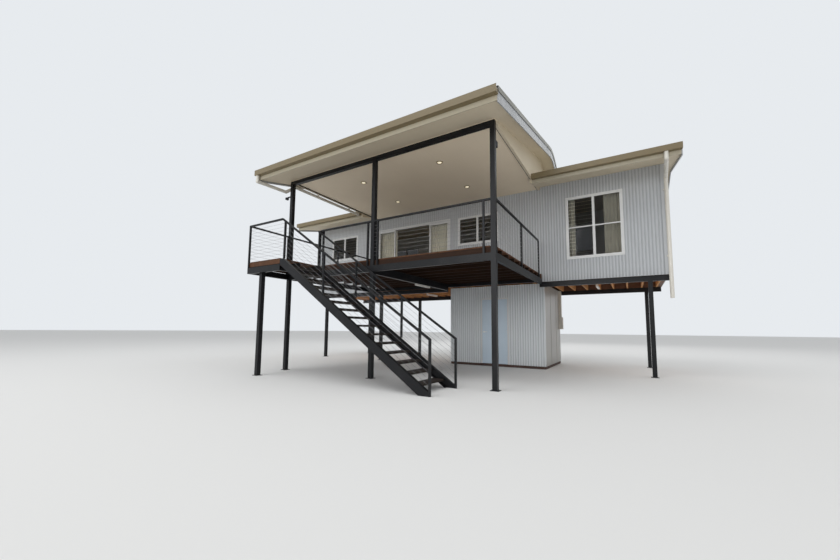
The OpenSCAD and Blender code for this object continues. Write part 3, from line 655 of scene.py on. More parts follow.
@dataclass
class Shape:
    """Points and faces that become one piece."""

    name: str
    points: list[Vector] = field(default_factory=list)
    faces: list[tuple[int, ...]] = field(default_factory=list)
    _seen: dict[tuple[int, int, int], int] = field(default_factory=dict)

    def point(self, place: Vector) -> int:
        """Adds a point, or finds the one already there.

        Args:
            place: Where it is.

        Returns:
            Its number.
        """
        key = (round(place.x * FINE), round(place.y * FINE), round(place.z * FINE))
        if key not in self._seen:
            self._seen[key] = len(self.points)
            self.points.append(place)
        return self._seen[key]

    def face(self, *places: Vector) -> None:
        """Adds a face.

        Args:
            places: Its corners in order.
        """
        ring = list(dict.fromkeys(self.point(place) for place in places))
        if len(ring) > 2:
            self.faces.append(tuple(ring))

    def box(self, one: Sequence[float], other: Sequence[float]) -> None:
        """Adds a box of its own, joined to nothing.

        Args:
            one: Any corner.
            other: The corner opposite it.
        """
        first = len(self.points)
        (x0, x1), (y0, y1), heights = (sorted(ends) for ends in zip(one, other))
        for z in heights:
            self.points += [Vector((x, y, z)) for x, y in ((x0, y0), (x1, y0), (x1, y1), (x0, y1))]
        self.faces += [tuple(first + i for i in ring) for ring in BOX_RINGS]

    def angle(
        self, corner: Pair, sides: Pair, out: Pair, inner: Pair, lap: Pair, span: Pair
    ) -> None:
        """Adds a folded trim over an upright corner, with one leg along X and one along Y.

        Args:
            corner: The X and Y of the corner.
            sides: 1 or -1, for the ways that the corner faces along X and Y.
            out: How far the trim stands out along X and Y.
            inner: How far its inner faces stand out.
            lap: How far its legs reach back from the corner.
            span: Its foot and its top.
        """
        (x, y), (sx, sy), (foot, top) = corner, sides, span
        outer = (x + sx * out[0], y + sy * out[1], foot)
        self.box(outer, (x - sx * lap[0], y + sy * inner[1], top))
        self.box(outer, (x + sx * inner[0], y - sy * lap[1], top))

    def loft(self, rings: Sequence[Sequence[Vector]], closed: bool = False) -> None:
        """Adds a skin over closed outlines of one length.

        Args:
            rings: The outlines in order, each with its corners in order.
            closed: Whether it runs on from the last outline to the first, and so has no ends.
        """
        first, count = len(self.points), len(rings[0])
        for ring in rings:
            self.points.extend(ring)
        starts = [first + i * count for i in range(len(rings))]
        for here, there in zip(starts, starts[1:] + starts[:1] * closed):
            for i in range(count):
                j = (i + 1) % count
                self.faces.append((here + i, here + j, there + j, there + i))
        if not closed:
            self.faces.append(tuple(first + i for i in reversed(range(count))))
            self.faces.append(tuple(starts[-1] + i for i in range(count)))

    def make(
        self,
        rack: Rack,
        finish: str,
        bevel: float = 0.0,
        smooth: bool = False,
        slot: Optional[str] = None,
    ) -> bpy.types.Object:
        """Makes the piece, dresses it and fastens it to the house.

        Args:
            rack: Where the finish comes from.
            finish: The finish's name.
            bevel: The width of its bevels, in metres.
            smooth: Whether its faces are shaded smooth, and turned as they were added.
            slot: Not used.

        Returns:
            The piece.
        """
        mesh = bpy.data.meshes.new(self.name)
        mesh.from_pydata([tuple(p) for p in self.points], [], self.faces)
        work = bmesh.new()
        work.from_mesh(mesh)
        if not smooth:
            bmesh.ops.recalc_face_normals(work, faces=work.faces)
        if bevel > 0:
            edges = [
                e for e in work.edges if len(e.link_faces) == 2 and e.calc_face_angle() > SHARP
            ]
            bmesh.ops.bevel(
                work, geom=edges, offset=bevel, segments=1, affect="EDGES", clamp_overlap=True
            )
        work.to_mesh(mesh)
        work.free()
        for polygon in mesh.polygons:
            polygon.use_smooth = smooth
        made = put(self.name, mesh)
        mesh.materials.append(rack.take(finish))
        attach(made, HOUSE)
        LOG.info("%s: %d faces", self.name, len(mesh.polygons))
        return made


@dataclass(frozen=True)
class Hole:
    """An opening in a run of sheet, along the run and up."""

    start: float
    end: float
    foot: float
    head: float


@dataclass(frozen=True)
class SheetRun:
    """A run of ribbed wall sheet: where it starts, which way it runs and which way it faces."""

    name: str
    origin: Vector
    run: Vector
    out: Vector
    length: float
    foot: Bound
    head: Bound
    holes: tuple[Hole, ...] = ()
    pitch: float = 0.0762
    depth: float = 0.016
    lift: float = 0.001
    least: float = 1e-4
    steps: int = 8

    def offset(self, place: float) -> float:
        """How far the sheet stands out at a place along the run."""
        wave = 0.5 - 0.5 * math.cos(2 * math.pi * place / self.pitch)
        return self.lift + self.depth * wave

    def marks(self) -> list[float]:
        """The places along the run where the sheet has corners.

        Returns:
            The places in order, with the edges of the openings.
        """
        count = round(self.length / self.pitch * self.steps)
        marks = {round(i * self.length / count, 5) for i in range(count + 1)}
        for hole in self.holes:
            marks |= {round(hole.start, 5), round(hole.end, 5)}
        return sorted(m for m in marks if 0 <= m <= self.length)

    def spans(self, place: float) -> list[tuple[Bound, Bound]]:
        """The stretches of sheet above each other at a place.

        Args:
            place: The place along the run.

        Returns:
            The lower and upper bound of each stretch.
        """
        for hole in self.holes:
            if hole.start < place < hole.end:
                return [(self.foot, lambda _: hole.foot), (lambda _: hole.head, self.head)]
        return [(self.foot, self.head)]

    def build(self, rack: Rack, finish: str) -> None:
        """Makes the run, with a mark on each point of how deep it lies in a groove, which the paint
        darkens as painted shade.

        Args:
            rack: Where the finish comes from.
            finish: The finish's name.
        """
        shape = Shape(self.name)
        marks = self.marks()
        turned = self.run.cross(Vector((0, 0, 1))).dot(self.out) < 0
        for left, right in zip(marks, marks[1:]):
            middle = (left + right) / 2
            for low, high in self.spans(middle):
                if high(middle) - low(middle) < self.least:
                    continue
                corners = []
                for place, bound in ((left, low), (right, low), (right, high), (left, high)):
                    base = self.origin + self.run * place + self.out * self.offset(place)
                    corners.append(Vector((base.x, base.y, bound(place))))
                shape.face(*(reversed(corners) if turned else corners))
        made = shape.make(rack, finish, smooth=True)
        grooves = made.data.attributes.new("groove", "FLOAT", "POINT")
        for vertex, groove in zip(made.data.vertices, grooves.data):
            out = (vertex.co - self.origin).dot(self.out)
            groove.value = 1.0 - (out - self.lift) / self.depth


# The house


@dataclass(frozen=True)
class Window:
    """A window's outer frame: left edge, width, sill and head."""

    left: float
    width: float
    sill: float
    head: float

    @property
    def right(self) -> float:
        """The frame's right edge."""
        return self.left + self.width

    def hole(self, start: float, run: float = 1.0) -> Hole:
        """This window as an opening in a run from the X start, to the right (1) or left (-1)."""
        ends = sorted(((self.left - start) * run, (self.right - start) * run))
        return Hole(ends[0], ends[1], self.sill, self.head)


@dataclass(frozen=True)
class Plan:
    """The house's main sizes, in metres."""

    half: float = 6.1
    bay: float = 3.05
    front: float = 4.03
    rear: float = 7.03
    wall_foot: float = 2.56
    floor: float = 2.81
    deck: float = 2.8
    ceiling: float = 5.36
    eave: float = 5.19
    eave_front: float = 3.06
    eave_rear: float = 8.0
    slope: float = math.tan(math.radians(13.0))
    head: float = 4.86
    small_width: float = 1.33
    small_height: float = 0.9
    front_small: Pair = (-5.37, 0.4)
    rear_small: Triple = (-4.3, -0.7, 2.9)
    large: Window = Window(3.78, 1.37, 3.18, 4.91)
    slider: Window = Window(-3.01, 3.06, 2.8, 4.89)

    def soffit(self, y: float) -> float:
        """The underside of the main roof's soffit at a depth."""
        return self.eave + self.slope * min(y - self.eave_front, self.eave_rear - y)

    def small(self, *lefts: float) -> list[Window]:
        """The small windows with these left edges."""
        sill = self.head - self.small_height
        return [Window(left, self.small_width, sill, self.head) for left in lefts]

    def front_windows(self) -> list[Window]:
        """The left, louvred and large windows of the front wall."""
        return [*self.small(*self.front_small), self.large]

    def rear_windows(self) -> list[Window]:
        """The three windows of the rear wall."""
        return self.small(*self.rear_small)


@dataclass
class Assembly:
    """A sub-assembly of the house, dressed from the rack and placed by the plan."""

    rack: Rack
    plan: Plan = Plan()

    def build(self) -> None:
        """Makes its pieces."""
        raise NotImplementedError


@dataclass
class Cladding(Assembly):
    """The ribbed sheets on the upper walls, with their corner trims."""

    lap: Pair = (0.075, 0.075)
    proud: Pair = (0.020, 0.020)
    inner: Pair = (0.017, 0.017)
    clear: float = 0.001

    def build(self) -> None:
        """Makes the sheets on all four sides and their trims."""
        plan = self.plan
        doors = tuple(w.hole(-plan.half) for w in (*plan.front_windows(), plan.slider))
        rear = tuple(w.hole(plan.half, -1.0) for w in plan.rear_windows())
        low: Bound = lambda _: plan.wall_foot
        foot: Bound = lambda u: plan.deck if abs(u - plan.half) < plan.bay else plan.wall_foot
        under: Bound = lambda u: (
            plan.ceiling if abs(u - plan.half) < plan.bay else plan.soffit(plan.front) - self.clear
        )
        behind: Bound = lambda _: plan.soffit(plan.rear) - self.clear
        raked: Bound = lambda u: plan.soffit(plan.front + u) - self.clear
        right, back, wide = Vector((1, 0, 0)), Vector((0, 1, 0)), 2 * plan.half
        deep = plan.rear - plan.front
        for name, x, y, run, out, length, lower, upper, holes in (
            ("front_wall_sheets", -1, plan.front, right, -back, wide, foot, under, doors),
            ("rear_wall_sheets", 1, plan.rear, -right, back, wide, low, behind, rear),
            ("right_wall_sheets", 1, plan.front, back, right, deep, low, raked, ()),
            ("left_wall_sheets", -1, plan.front, back, -right, deep, low, raked, ()),
        ):
            start = Vector((x * plan.half, y, 0))
            sheets = SheetRun(name, start, run, out, length, lower, upper, holes)
            sheets.build(self.rack, "wall_sheet")
        self.corners()

    def corners(self) -> None:
        """Makes the folded trims over the four upright corners."""
        plan = self.plan
        shape = Shape("wall_corner_trims")
        for sx in (-1, 1):
            for y, sy in ((plan.front, -1), (plan.rear, 1)):
                corner = (sx * plan.half, y)
                span = (plan.wall_foot, plan.soffit(y) - 2 * self.clear)
                shape.angle(corner, (sx, sy), self.proud, self.inner, self.lap, span)
        shape.make(self.rack, "wall_sheet", bevel=0.001)


@dataclass
class WindowTrims(Assembly):
    """The folded trims round the windows and the sliding door."""

    width: float = 0.030
    proud: float = 0.022

    def build(self) -> None:
        """Makes the trims round each opening."""
        plan = self.plan
        shape = Shape("window_trims")
        for window in plan.front_windows():
            self.surround(shape, window, plan.front, -1.0)
        for window in plan.rear_windows():
            self.surround(shape, window, plan.rear, 1.0)
        self.surround(shape, plan.slider, plan.front, -1.0, sill=False)
        shape.make(self.rack, "white_frame", bevel=0.002)

    def surround(
        self, shape: Shape, window: Window, wall: float, out: float, sill: bool = True
    ) -> None:
        """Adds the trims round one opening.

        Args:
            shape: What they are added to.
            window: The opening.
            wall: The wall's outer face.
            out: 1 if the wall faces back, or -1 if it faces the front.
            sill: Whether there is a trim below the opening too.
        """
        face, low, high = wall + out * self.proud, window.sill, window.head
        left, right = window.left - self.width, window.right + self.width
        shape.box((left, wall, low), (window.left, face, high))
        shape.box((window.right, wall, low), (right, face, high))
        shape.box((left, wall, high), (right, face, high + self.width))
        if sill:
            shape.box((left, wall, low - self.width), (right, face, low))


@dataclass
class Curtains(Assembly):
    """The pleated curtains behind the sliding door's outer leaves and the large window."""

    pleat: float = 0.09
    depth: float = 0.022
    behind: float = 0.16
    steps: int = 8
    door_edge: float = 0.03
    door_reach: float = 0.80
    gap: float = 0.02
    below: float = 0.06
    above: float = 0.04
    drawn: float = 0.68
    bunched: Pair = (0.04, 0.20)

    def build(self) -> None:
        """Makes the four curtains and logs the width and height of each one's cloth."""
        door, large = self.plan.slider, self.plan.large
        tall = (self.plan.floor + self.gap, door.head - self.gap, "front_wall_over_door")
        short = (large.sill - self.below, large.head + self.above, "front_wall_right")
        drawn = large.left + large.width * self.drawn
        bunch, end = (large.left + x for x in self.bunched)
        for name, x0, x1, (z0, z1, wall) in (
            ("curtain_door_left", door.left + self.door_edge, door.left + self.door_reach, tall),
            ("curtain_door_right", door.right - self.door_reach, door.right - self.door_edge, tall),
            ("curtain_window_right", drawn, large.right - self.gap, short),
            ("curtain_window_left", bunch, end, short),
        ):
            shape = Shape(name)
            cut = self.hang(shape, x0, x1, z0, z1)
            made = shape.make(self.rack, "curtain", smooth=True, slot="lining")
            z1 - z0
            LOG.info("%s: cut %.3f by %.3f m", name, cut, z1 - z0)

    def hang(self, shape: Shape, x0: float, x1: float, z0: float, z1: float) -> float:
        """Adds one curtain.

        Args:
            shape: What it is added to.
            x0: Its left edge.
            x1: Its right edge.
            z0: Its lower edge.
            z1: Its upper edge.

        Returns:
            The width of its cloth, laid flat.
        """
        count = max(2, round((x1 - x0) / self.pleat)) * self.steps
        wall, cut, places = self.plan.front + self.behind, 0.0, []
        for i in range(count + 1):
            swing = math.sin(2 * math.pi * i / self.steps) * self.depth
            places.append((x0 + (x1 - x0) * i / count, wall + swing))
        for a, b in zip(places, places[1:]):
            shape.face(*(Vector((*p, z)) for p, z in ((a, z0), (b, z0), (b, z1), (a, z1))))
            cut += math.dist(a, b)
        return cut


@dataclass
class FloorCovering(Assembly):
    """The dark covering fitted on the upper floor, between the walls."""

    wall: float = 0.13
    thick: float = 0.004
    clear: float = 0.0005

    def build(self) -> None:
        """Makes the covering."""
        plan, shape = self.plan, Shape("floor_covering")
        foot = plan.floor + self.clear
        shape.box(
            (self.wall - plan.half, plan.front + self.wall, foot),
            (plan.half - self.wall, plan.rear - self.wall, foot + self.thick),
        )
        shape.make(self.rack, "floor_covering", bevel=0.001, slot="floor_sheet")


@dataclass
class LampRims(Assembly):
    """The metal rims round the four lamps in the verandah's ceiling."""

    across: float = 1.24
    rows: Pair = (1.03, 2.78)
    sides: int = 32
    profile: tuple[Pair, ...] = (
        (0.057, 0.0), (0.057, -0.010), (0.067, -0.014), (0.085, -0.004), (0.085, 0.0),
    )

    def build(self) -> None:
        """Makes the four rims."""
        shape = Shape("lamp_rims")
        turns = [2 * math.pi * i / self.sides for i in range(self.sides)]
        ways = [Vector((math.cos(turn), math.sin(turn), 0)) for turn in turns]
        for x in (-self.across, self.across):
            for y in self.rows:
                centre = Vector((x, y, self.plan.ceiling))
                rings = [
                    [centre + way * r + Vector((0, 0, z)) for r, z in self.profile] for way in ways
                ]
                shape.loft(rings, closed=True)
        shape.make(self.rack, "rim_metal", smooth=True, slot="lamp")


@dataclass
class Wires(Assembly):
    """The thin bright wires of the level rails and of the stair rails."""

    rail: float = 3.75
    rail_half: float = 0.04
    rows: int = 9
    radius: float = 0.0024
    sides: int = 6
    level_runs: tuple[tuple[Pair, Pair], ...] = (
        ((-1.78, -0.03), (-0.05, -0.03)), ((0.05, -0.03), (2.95, -0.03)),
        ((3.03, 0.05), (3.03, 3.75)), ((-3.03, 0.05), (-3.03, 3.75)),
        ((-3.01, -1.22), (-1.695, -1.22)), ((-3.03, -1.23), (-3.03, -0.05)),
    )
    stair_runs: tuple[Pair, ...] = ((-1.22, -1.6725), (-0.185, -1.647))
    stair_right: float = 2.28
    stair_end: float = 0.02
    slope: float = 0.175 / 0.255
    stair_rails: Pair = (0.045, 0.9258)
    stair_lift: float = 0.002

    def build(self) -> None:
        """Makes all the wires as one piece."""
        shape = Shape("rail_wires")
        deck, (low, high) = self.plan.deck, self.stair_rails
        for i in range(1, self.rows + 1):
            z = deck + (self.rail - self.rail_half - deck) * i / (self.rows + 1)
            for start, end in self.level_runs:
                self.wire(shape, Vector((*start, z)), Vector((*end, z)))
        for y, left in self.stair_runs:
            for i in range(1, self.rows - 1):
                up = low + (high - low) * i / (self.rows - 1) + self.stair_lift
                start, end = (
                    Vector((x, y, (self.stair_right - x) * self.slope + up))
                    for x in (left, self.stair_right - self.stair_end)
                )
                self.wire(shape, start, end)
        shape.make(self.rack, "wire_metal", slot="black_steel")

    def wire(self, shape: Shape, start: Vector, end: Vector) -> None:
        """Adds one straight wire.

        Args:
            shape: What it is added to.
            start: Its one end.
            end: Its other end.
        """
        way = (end - start).normalized()
        side = way.cross(Vector((0, 0, 1))).normalized() * self.radius
        up = side.cross(way).normalized() * self.radius
        turns = [2 * math.pi * i / self.sides for i in range(self.sides)]
        ring = [side * math.cos(a) + up * math.sin(a) for a in turns]
        shape.loft([[place + corner for corner in ring] for place in (start, end)])


@dataclass
class Boards(Assembly):
    """The deck's and the landing's boards, with a gap between each two, and the landing's rims."""

    pitch: float = 0.094
    gap: float = 0.004
    post: float = 0.055
    rim_height: float = 0.105
    rim_thick: float = 0.014
    rim_clear: float = 0.0005
    posts: Triple = (-3.0, 0.0, 3.0)

    def build(self) -> None:
        """Makes both floors of boards in place of their plain slabs, and the rims."""
        self.floor("deck_boards", "deck_floor", self.posts, at_rear=False)
        self.floor("landing_boards", "landing_floor", self.posts[:1], at_rear=True)
        low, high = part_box("landing_floor")
        foot, head, clear = low.z - self.rim_height, low.z - 2 * self.rim_clear, self.rim_clear
        shape = Shape("landing_rims")
        front, left = low.y - self.rim_thick, low.x - self.rim_thick
        shape.box((left, front, foot), (high.x, low.y - clear, head))
        shape.box((left, low.y + clear, foot), (low.x - clear, -self.post, head))
        shape.make(self.rack, "deck_timber", bevel=0.002)

    def floor(self, name: str, node: str, posts: Sequence[float], at_rear: bool) -> None:
        """Makes one floor of boards.

        Args:
            name: The piece's name.
            node: The slab that the boards stand for.
            posts: The X places of the posts that the boards stop at.
            at_rear: Whether the posts stand at the boards' rear ends.
        """
        low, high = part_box(node)
        shape = Shape(name)
        count = round((high.x - low.x) / self.pitch)
        pitch = (high.x - low.x) / count
        for i in range(count):
            x0 = low.x + i * pitch + self.gap / 2
            x1 = low.x + (i + 1) * pitch - self.gap / 2
            y0, y1 = low.y, high.y
            if any(x0 < p + self.post and x1 > p - self.post for p in posts):
                y0, y1 = (y0, -self.post) if at_rear else (self.post, y1)
            shape.box((x0, y0, low.z), (x1, y1, high.z))
        made = shape.make(self.rack, "deck_timber", bevel=0.002)
        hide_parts(node)


@dataclass
class RoofSheets(Assembly):
    """The ribbed sheets of the main roof and of the curved verandah roof, with their caps."""

    pitch: float = 0.0762
    depth: float = 0.016
    steps: int = 6
    lift: float = 0.0008
    main_half: float = 6.378
    verandah_half: float = 3.378
    thick: float = 0.2104
    over: float = 0.03
    verandah_front: float = -0.85
    radius: float = 1.3
    bend_start: float = 3.84
    bend_step: float = math.radians(2.0)
    bend_sink: float = 0.01
    cap_clear: float = 0.004
    cover_out: float = 0.032
    cover_drop: float = 0.075
    cover_lip: float = 0.06
    cover_thick: float = 0.002
    cap_half: float = 0.16
    cap_roll: float = 0.03
    cap_dip: float = 0.004
    cap_rise: float = 0.008
    cap_edge: float = 0.012
    cap_under: float = 0.010

    def build(self) -> None:
        """Makes both roofs, the ridge cap and the strips over the sheets' side edges."""
        plan, wide, inner, half = self.plan, self.main_half, self.plan.bay, self.verandah_half
        front, rear = self.main_line(plan.eave_front - self.over), self.main_line(plan.eave_rear)
        behind, curved = self.main_line(plan.eave_rear + self.over), self.verandah_line()
        self.lay("main_roof_left_sheets", -wide, -inner, front)
        self.lay("main_roof_right_sheets", inner, wide, front)
        self.lay("main_roof_middle_sheets", -inner, inner, self.main_line(plan.front))
        self.lay("main_roof_rear_sheets", -wide, wide, behind)
        self.lay("verandah_roof_sheets", -half, half, curved)
        self.ridge()
        self.covers("main_roof_cover_strips", wide, [front, rear])
        self.covers("verandah_cover_strips", half, [curved])

    def top(self, y: float) -> Vector:
        """The point on the main roof's plain upper face at a depth, at X 0."""
        return Vector((0, y, self.plan.soffit(y) + self.thick))

    def crest(self) -> Vector:
        """The point on the main roof's ridge at X 0."""
        return self.top((self.plan.eave_front + self.plan.eave_rear) / 2)

    def main_line(self, edge: float) -> list[Vector]:
        """The side line of the main roof's slope whose lower edge is at a Y."""
        return [self.top(edge), self.crest()]

    def verandah_line(self) -> list[Vector]:
        """The side line of the verandah roof, from its gutter over the curve to the main roof.

        Returns:
            Its points, at X 0.
        """
        slope, pitch = self.plan.slope, math.atan(self.plan.slope)
        base = self.plan.eave + self.thick
        bend = base + slope * (self.bend_start - self.verandah_front)
        y0 = self.bend_start + self.radius * math.sin(pitch)
        z0 = bend - self.radius * math.cos(pitch)
        edge = self.verandah_front - self.over
        line = [Vector((0, edge, base - slope * self.over)), Vector((0, self.bend_start, bend))]
        angle = pitch - self.bend_step
        while True:
            y, z = y0 - self.radius * math.sin(angle), z0 + self.radius * math.cos(angle)
            if z < self.top(y).z - self.bend_sink:
                return line
            line.append(Vector((0, y, z)))
            angle -= self.bend_step

    def lay(self, name: str, left: float, right: float, line: Sequence[Vector]) -> None:
        """Lays ribbed sheets along a side line.

        Args:
            name: The piece's name.
            left: The sheets' left edge.
            right: The sheets' right edge.
            line: The side line, from the eave up.
        """
        shape = Shape(name)
        count = round((right - left) / self.pitch * self.steps)
        rows: list[list[int]] = []
        for place, normal in zip(line, self.normals(line)):
            row = []
            for i in range(count + 1):
                x = left + (right - left) * i / count
                wave = 0.5 + 0.5 * math.cos(2 * math.pi * x / self.pitch)
                lift = normal * (self.lift + self.depth * wave)
                row.append(shape.point(Vector((x, place.y, place.z)) + lift))
            rows.append(row)
        forward = line[-1].y > line[0].y
        for low, high in zip(rows, rows[1:]):
            for i in range(count):
                ring = (low[i], low[i + 1], high[i + 1], high[i])
                shape.faces.append(ring if forward else tuple(reversed(ring)))
        shape.make(self.rack, "roof_sheet", smooth=True)

    def normals(self, line: Sequence[Vector]) -> list[Vector]:
        """The upward normal of a side line at each of its points.

        Args:
            line: The points.

        Returns:
            Their normals.
        """
        found = []
        for i in range(len(line)):
            before, after = line[max(i - 1, 0)], line[min(i + 1, len(line) - 1)]
            way = (after - before).normalized()
            normal = Vector((0, -way.z, way.y))
            found.append(normal if normal.z > 0 else -normal)
        return found

    def covers(self, name: str, half: float, lines: Sequence[Sequence[Vector]]) -> None:
        """Makes the folded strips that cover the sheets' side edges.

        Args:
            name: The piece's name.
            half: The X of the sheets' right edge.
            lines: The side lines that the strips follow.
        """
        shape = Shape(name)
        thick, out, top = self.cover_thick, self.cover_out, self.depth + self.cap_clear
        lip, drop = -self.cover_lip, -self.cover_drop
        profile = (
            (lip, top), (lip, top + thick), (out + thick, top + thick),
            (out + thick, drop), (out, drop), (out, top),
        )
        for side in (-1.0, 1.0):
            for line in lines:
                shape.loft([
                    [place + Vector((side * (half + x), 0, 0)) + normal * z for x, z in profile]
                    for place, normal in zip(line, self.normals(line))
                ])
        # dressed in the cap paint, whose darkness is painted shade
        shape.make(self.rack, "cap_metal_shaded", slot="trim")

    def ridge(self) -> None:
        """Makes the folded cap over the main ridge."""
        shape = Shape("ridge_cap")
        half, roll, dip, edge = self.cap_half, self.cap_roll, self.cap_dip, self.cap_edge
        foot = -self.plan.slope * half
        profile = (
            (-half, foot - edge), (-half, foot), (-roll, -dip), (0, self.cap_rise),
            (roll, -dip), (half, foot), (half, foot - edge), (0, -self.cap_under),
        )
        crest = self.crest() + Vector((0, 0, self.depth + self.cap_clear))
        shape.loft([
            [crest + Vector((x, y, z)) for y, z in profile]
            for x in (-self.main_half, self.main_half)
        ])
        shape.make(self.rack, "trim", bevel=0.001)


@dataclass
class StoreRoom(Assembly):
    """The ground room's ribbed front, its corner trims and its cover strips."""

    left: float = -0.06
    right: float = 3.04
    front: float = 4.38
    rear: float = 6.88
    slab: float = 0.08
    top: float = 2.56
    frame_left: float = 1.024
    frame_right: float = 1.936
    frame_top: float = 2.172
    trim_lap: Pair = (0.035, 0.03)
    trim_side: Pair = (0.004, 0.0005)
    trim_thick: float = 0.003
    front_proud: float = 0.020
    rear_proud: float = 0.009
    sheet: float = 0.9
    strip_width: float = 0.045
    strip_thick: float = 0.007
    strip_foot: float = 0.05

    def build(self) -> None:
        """Makes the ribbed front, the corner trims and the side sheets' cover strips."""
        hole = Hole(self.frame_left - self.left, self.frame_right - self.left, 0.0, self.frame_top)
        SheetRun(
            "store_front_sheets", Vector((self.left, self.front, 0)), Vector((1, 0, 0)),
            Vector((0, -1, 0)), self.right - self.left, lambda _: self.slab, lambda _: self.top,
            (hole,),
        ).build(self.rack, "store_sheet")
        self.corners()
        self.strips()

    def corners(self) -> None:
        """Makes the folded trims over the four upright corners."""
        side, inner = self.trim_side
        for name, finish, y, sy, proud in (
            ("store_front_trims", "store_sheet", self.front, -1, self.front_proud),
            # the rear trims take the store's side finish, darkened as painted shade
            ("store_rear_trims", "store_side", self.rear, 1, self.rear_proud),
        ):
            shape, back, span = Shape(name), proud - self.trim_thick, (self.slab, self.top)
            for x, sx in ((self.left, -1), (self.right, 1)):
                shape.angle((x, y), (sx, sy), (side, proud), (inner, back), self.trim_lap, span)
            shape.make(self.rack, finish, bevel=0.001, slot="store_sheet")

    def strips(self) -> None:
        """Makes the cover strips over the side and rear sheets' joints and along their foot."""
        shape = Shape("store_cover_strips")
        half, thick, slab, foot = self.strip_width / 2, self.strip_thick, self.slab, self.strip_foot
        for x, face in ((self.left, self.left - thick), (self.right, self.right + thick)):
            for y in (self.front + self.sheet, self.front + 2 * self.sheet):
                shape.box((x, y - half, slab), (face, y + half, self.top))
            shape.box((x, self.front + foot, slab), (face, self.rear - foot, slab + foot))
        for i in (1, 2, 3):
            x = self.left + i * self.sheet
            shape.box((x - half, self.rear, slab), (x + half, self.rear + thick, self.top))
        # the strips take the store's side finish, darkened as painted shade
        shape.make(self.rack, "store_side", bevel=0.001, slot="store_sheet")


@dataclass
class Dresser:
    """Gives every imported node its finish."""

    rack: Rack
    nodes: Mapping[str, bpy.types.Object]
    record: Mapping[str, Any]
    special: Mapping[str, str] = field(
        default_factory=lambda: {
            # the deck joists' and the store walls' finishes are darker copies, their darkness
            # painted shade
            "deck_joists": "deck_joist_timber", "store_walls": "store_side",
            "main_barges": "barge_paint", "verandah_barges": "barge_paint",
            "front_wall_left": "wall_core", "front_wall_over_door": "wall_core",
            "front_wall_right": "wall_core", "rear_wall": "wall_core", "end_walls": "wall_core",
        }
    )

    def build(self) -> None:
        """Dresses the nodes by the record's slots, or as the special list says."""
        slots = {part["node"]: part["material_slot"] for part in self.record["subparts"]}
        for name, node in self.nodes.items():
            finish = self.special.get(name, slots[name])
            material = self.rack.take(finish)
            if not node.material_slots:
                node.data.materials.append(material)
            for slot in node.material_slots:
                slot.material = material
            LOG.info("%s: %s", name, finish)


# The studio


@dataclass(frozen=True)
class Lens:
    """The camera, with its turns in radians and its lens in the photograph's pixels."""

    place: Triple = (5.245, -6.528, 1.131)
    yaw: float = 0.5414
    pitch: float = 0.0934
    roll: float = 0.0092
    focal: float = 351.19
    drop: float = 16.94
    width: float = 840.0
    sensor: float = 36.0
    reach: float = 500.0

    def build(self) -> None:
        """Makes the camera and sets it as the scene's own."""
        data = bpy.data.cameras.new("view")
        data.sensor_width = self.sensor
        data.lens = self.focal / self.width * self.sensor
        data.shift_y = self.drop / self.width
        data.clip_end = self.reach
        frame = Matrix.Translation(self.place)
        for angle, axis in (
            (self.yaw, "Z"), (math.pi / 2 + self.pitch, "X"), (self.roll, "Z"),
        ):
            frame = frame @ Matrix.Rotation(angle, 4, axis)
        made = put("view", data)
        made.matrix_world = frame
        bpy.context.scene.camera = made


@dataclass(frozen=True)
class SoftLamp:
    """A soft square lamp that faces the house."""

    name: str
    place: Triple
    size: float
    power: float
    spread: float = 180.0
    aim: Triple = (0.0, 3.0, 3.0)

    def build(self) -> None:
        """Makes the lamp."""
        data = bpy.data.lights.new(self.name, "AREA")
        data.shape = "SQUARE"
        data.size = self.size
        data.energy = self.power
        data.spread = math.radians(self.spread)
        away = Vector(self.place) - Vector(self.aim)
        turn = away.to_track_quat("Z", "Y").to_matrix().to_4x4()
        put(self.name, data).matrix_world = Matrix.Translation(Vector(self.place)) @ turn


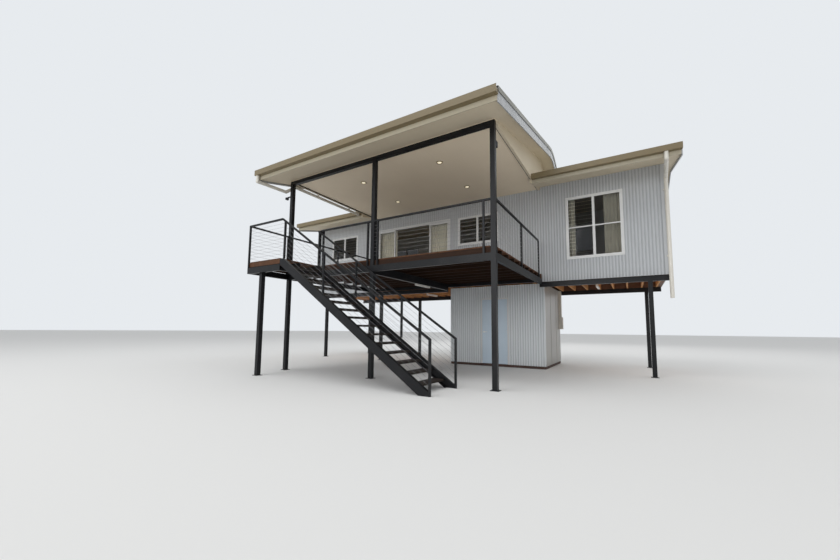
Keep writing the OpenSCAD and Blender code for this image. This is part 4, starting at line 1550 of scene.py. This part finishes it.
@dataclass
class Studio:
    """The pale floor, the soft lamps and the plain surround."""

    floor_colour: Triple = (0.80, 0.80, 0.79)
    floor_reach: float = 150.0
    surround: Triple = (0.80, 0.83, 0.86)
    sky: Triple = (0.97, 0.985, 1.0)
    ambient: float = 0.62
    lamps: tuple[SoftLamp, ...] = (
        SoftLamp("key", (-4.0, -9.0, 24.0), 14.0, 1900.0),
        SoftLamp("fill", (14.0, 2.0, 20.0), 12.0, 500.0),
        SoftLamp("front", (-3.0, -27.0, 8.0), 9.0, 280.0, 70.0),
        SoftLamp("back", (0.0, 24.0, 16.0), 14.0, 700.0),
    )

    def build(self) -> None:
        """Makes the floor, the world and the lamps."""
        bpy.context.scene.view_settings.view_transform = "Standard"
        self.floor()
        self.world()
        for lamp in self.lamps:
            lamp.build()

    def floor(self) -> None:
        """Makes the floor that the posts stand on."""
        mesh = bpy.data.meshes.new("floor")
        corners = ((-1, -1), (1, -1), (1, 1), (-1, 1))
        ring = [(x * self.floor_reach, y * self.floor_reach, 0.0) for x, y in corners]
        mesh.from_pydata(ring, [], [(0, 1, 2, 3)])
        graph = Graph("floor_paint")
        graph.dress(Base_Color=self.floor_colour, Roughness=0.9)
        mesh.materials.append(graph.material)
        put("floor", mesh)

    def world(self) -> None:
        """Makes the surround: soft light, and a plain colour to the camera and in reflections."""
        world = bpy.data.worlds.new("surround")
        bpy.context.scene.world = world
        world.use_nodes = True
        nodes = Nodes(world.node_tree)
        path = nodes.node("ShaderNodeLightPath", {}, {})
        camera, glossy, through = (
            Sock(nodes, path.outputs[f"Is {ray} Ray"])
            for ray in ("Camera", "Glossy", "Transmission")
        )
        soft, plain = (
            nodes.value("ShaderNodeBackground", {}, {"Color": colour, "Strength": strength})
            for colour, strength in ((self.sky, self.ambient), (self.surround, 1.0))
        )
        seen = camera.larger(glossy).larger(through)
        mixed = nodes.value("ShaderNodeMixShader", {}, {0: seen, 1: soft, 2: plain})
        nodes.node("ShaderNodeOutputWorld", {}, {0: mixed})


def main() -> None:
    """Builds the house's dress, the studio and the camera, and reports each piece."""
    logging.basicConfig(level=logging.INFO, format="%(message)s")
    for thing in list(bpy.data.objects):
        bpy.data.objects.remove(thing)
    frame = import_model()
    Lens().build()
    rack = Rack()
    Dresser(rack, frame["nodes"], frame["record"]).build()
    for part in (
        Cladding, WindowTrims, Curtains, FloorCovering, LampRims, Wires, Boards, RoofSheets,
        StoreRoom,
    ):
        part(rack).build()
    Studio().build()


if __name__ == "__main__":
    main()
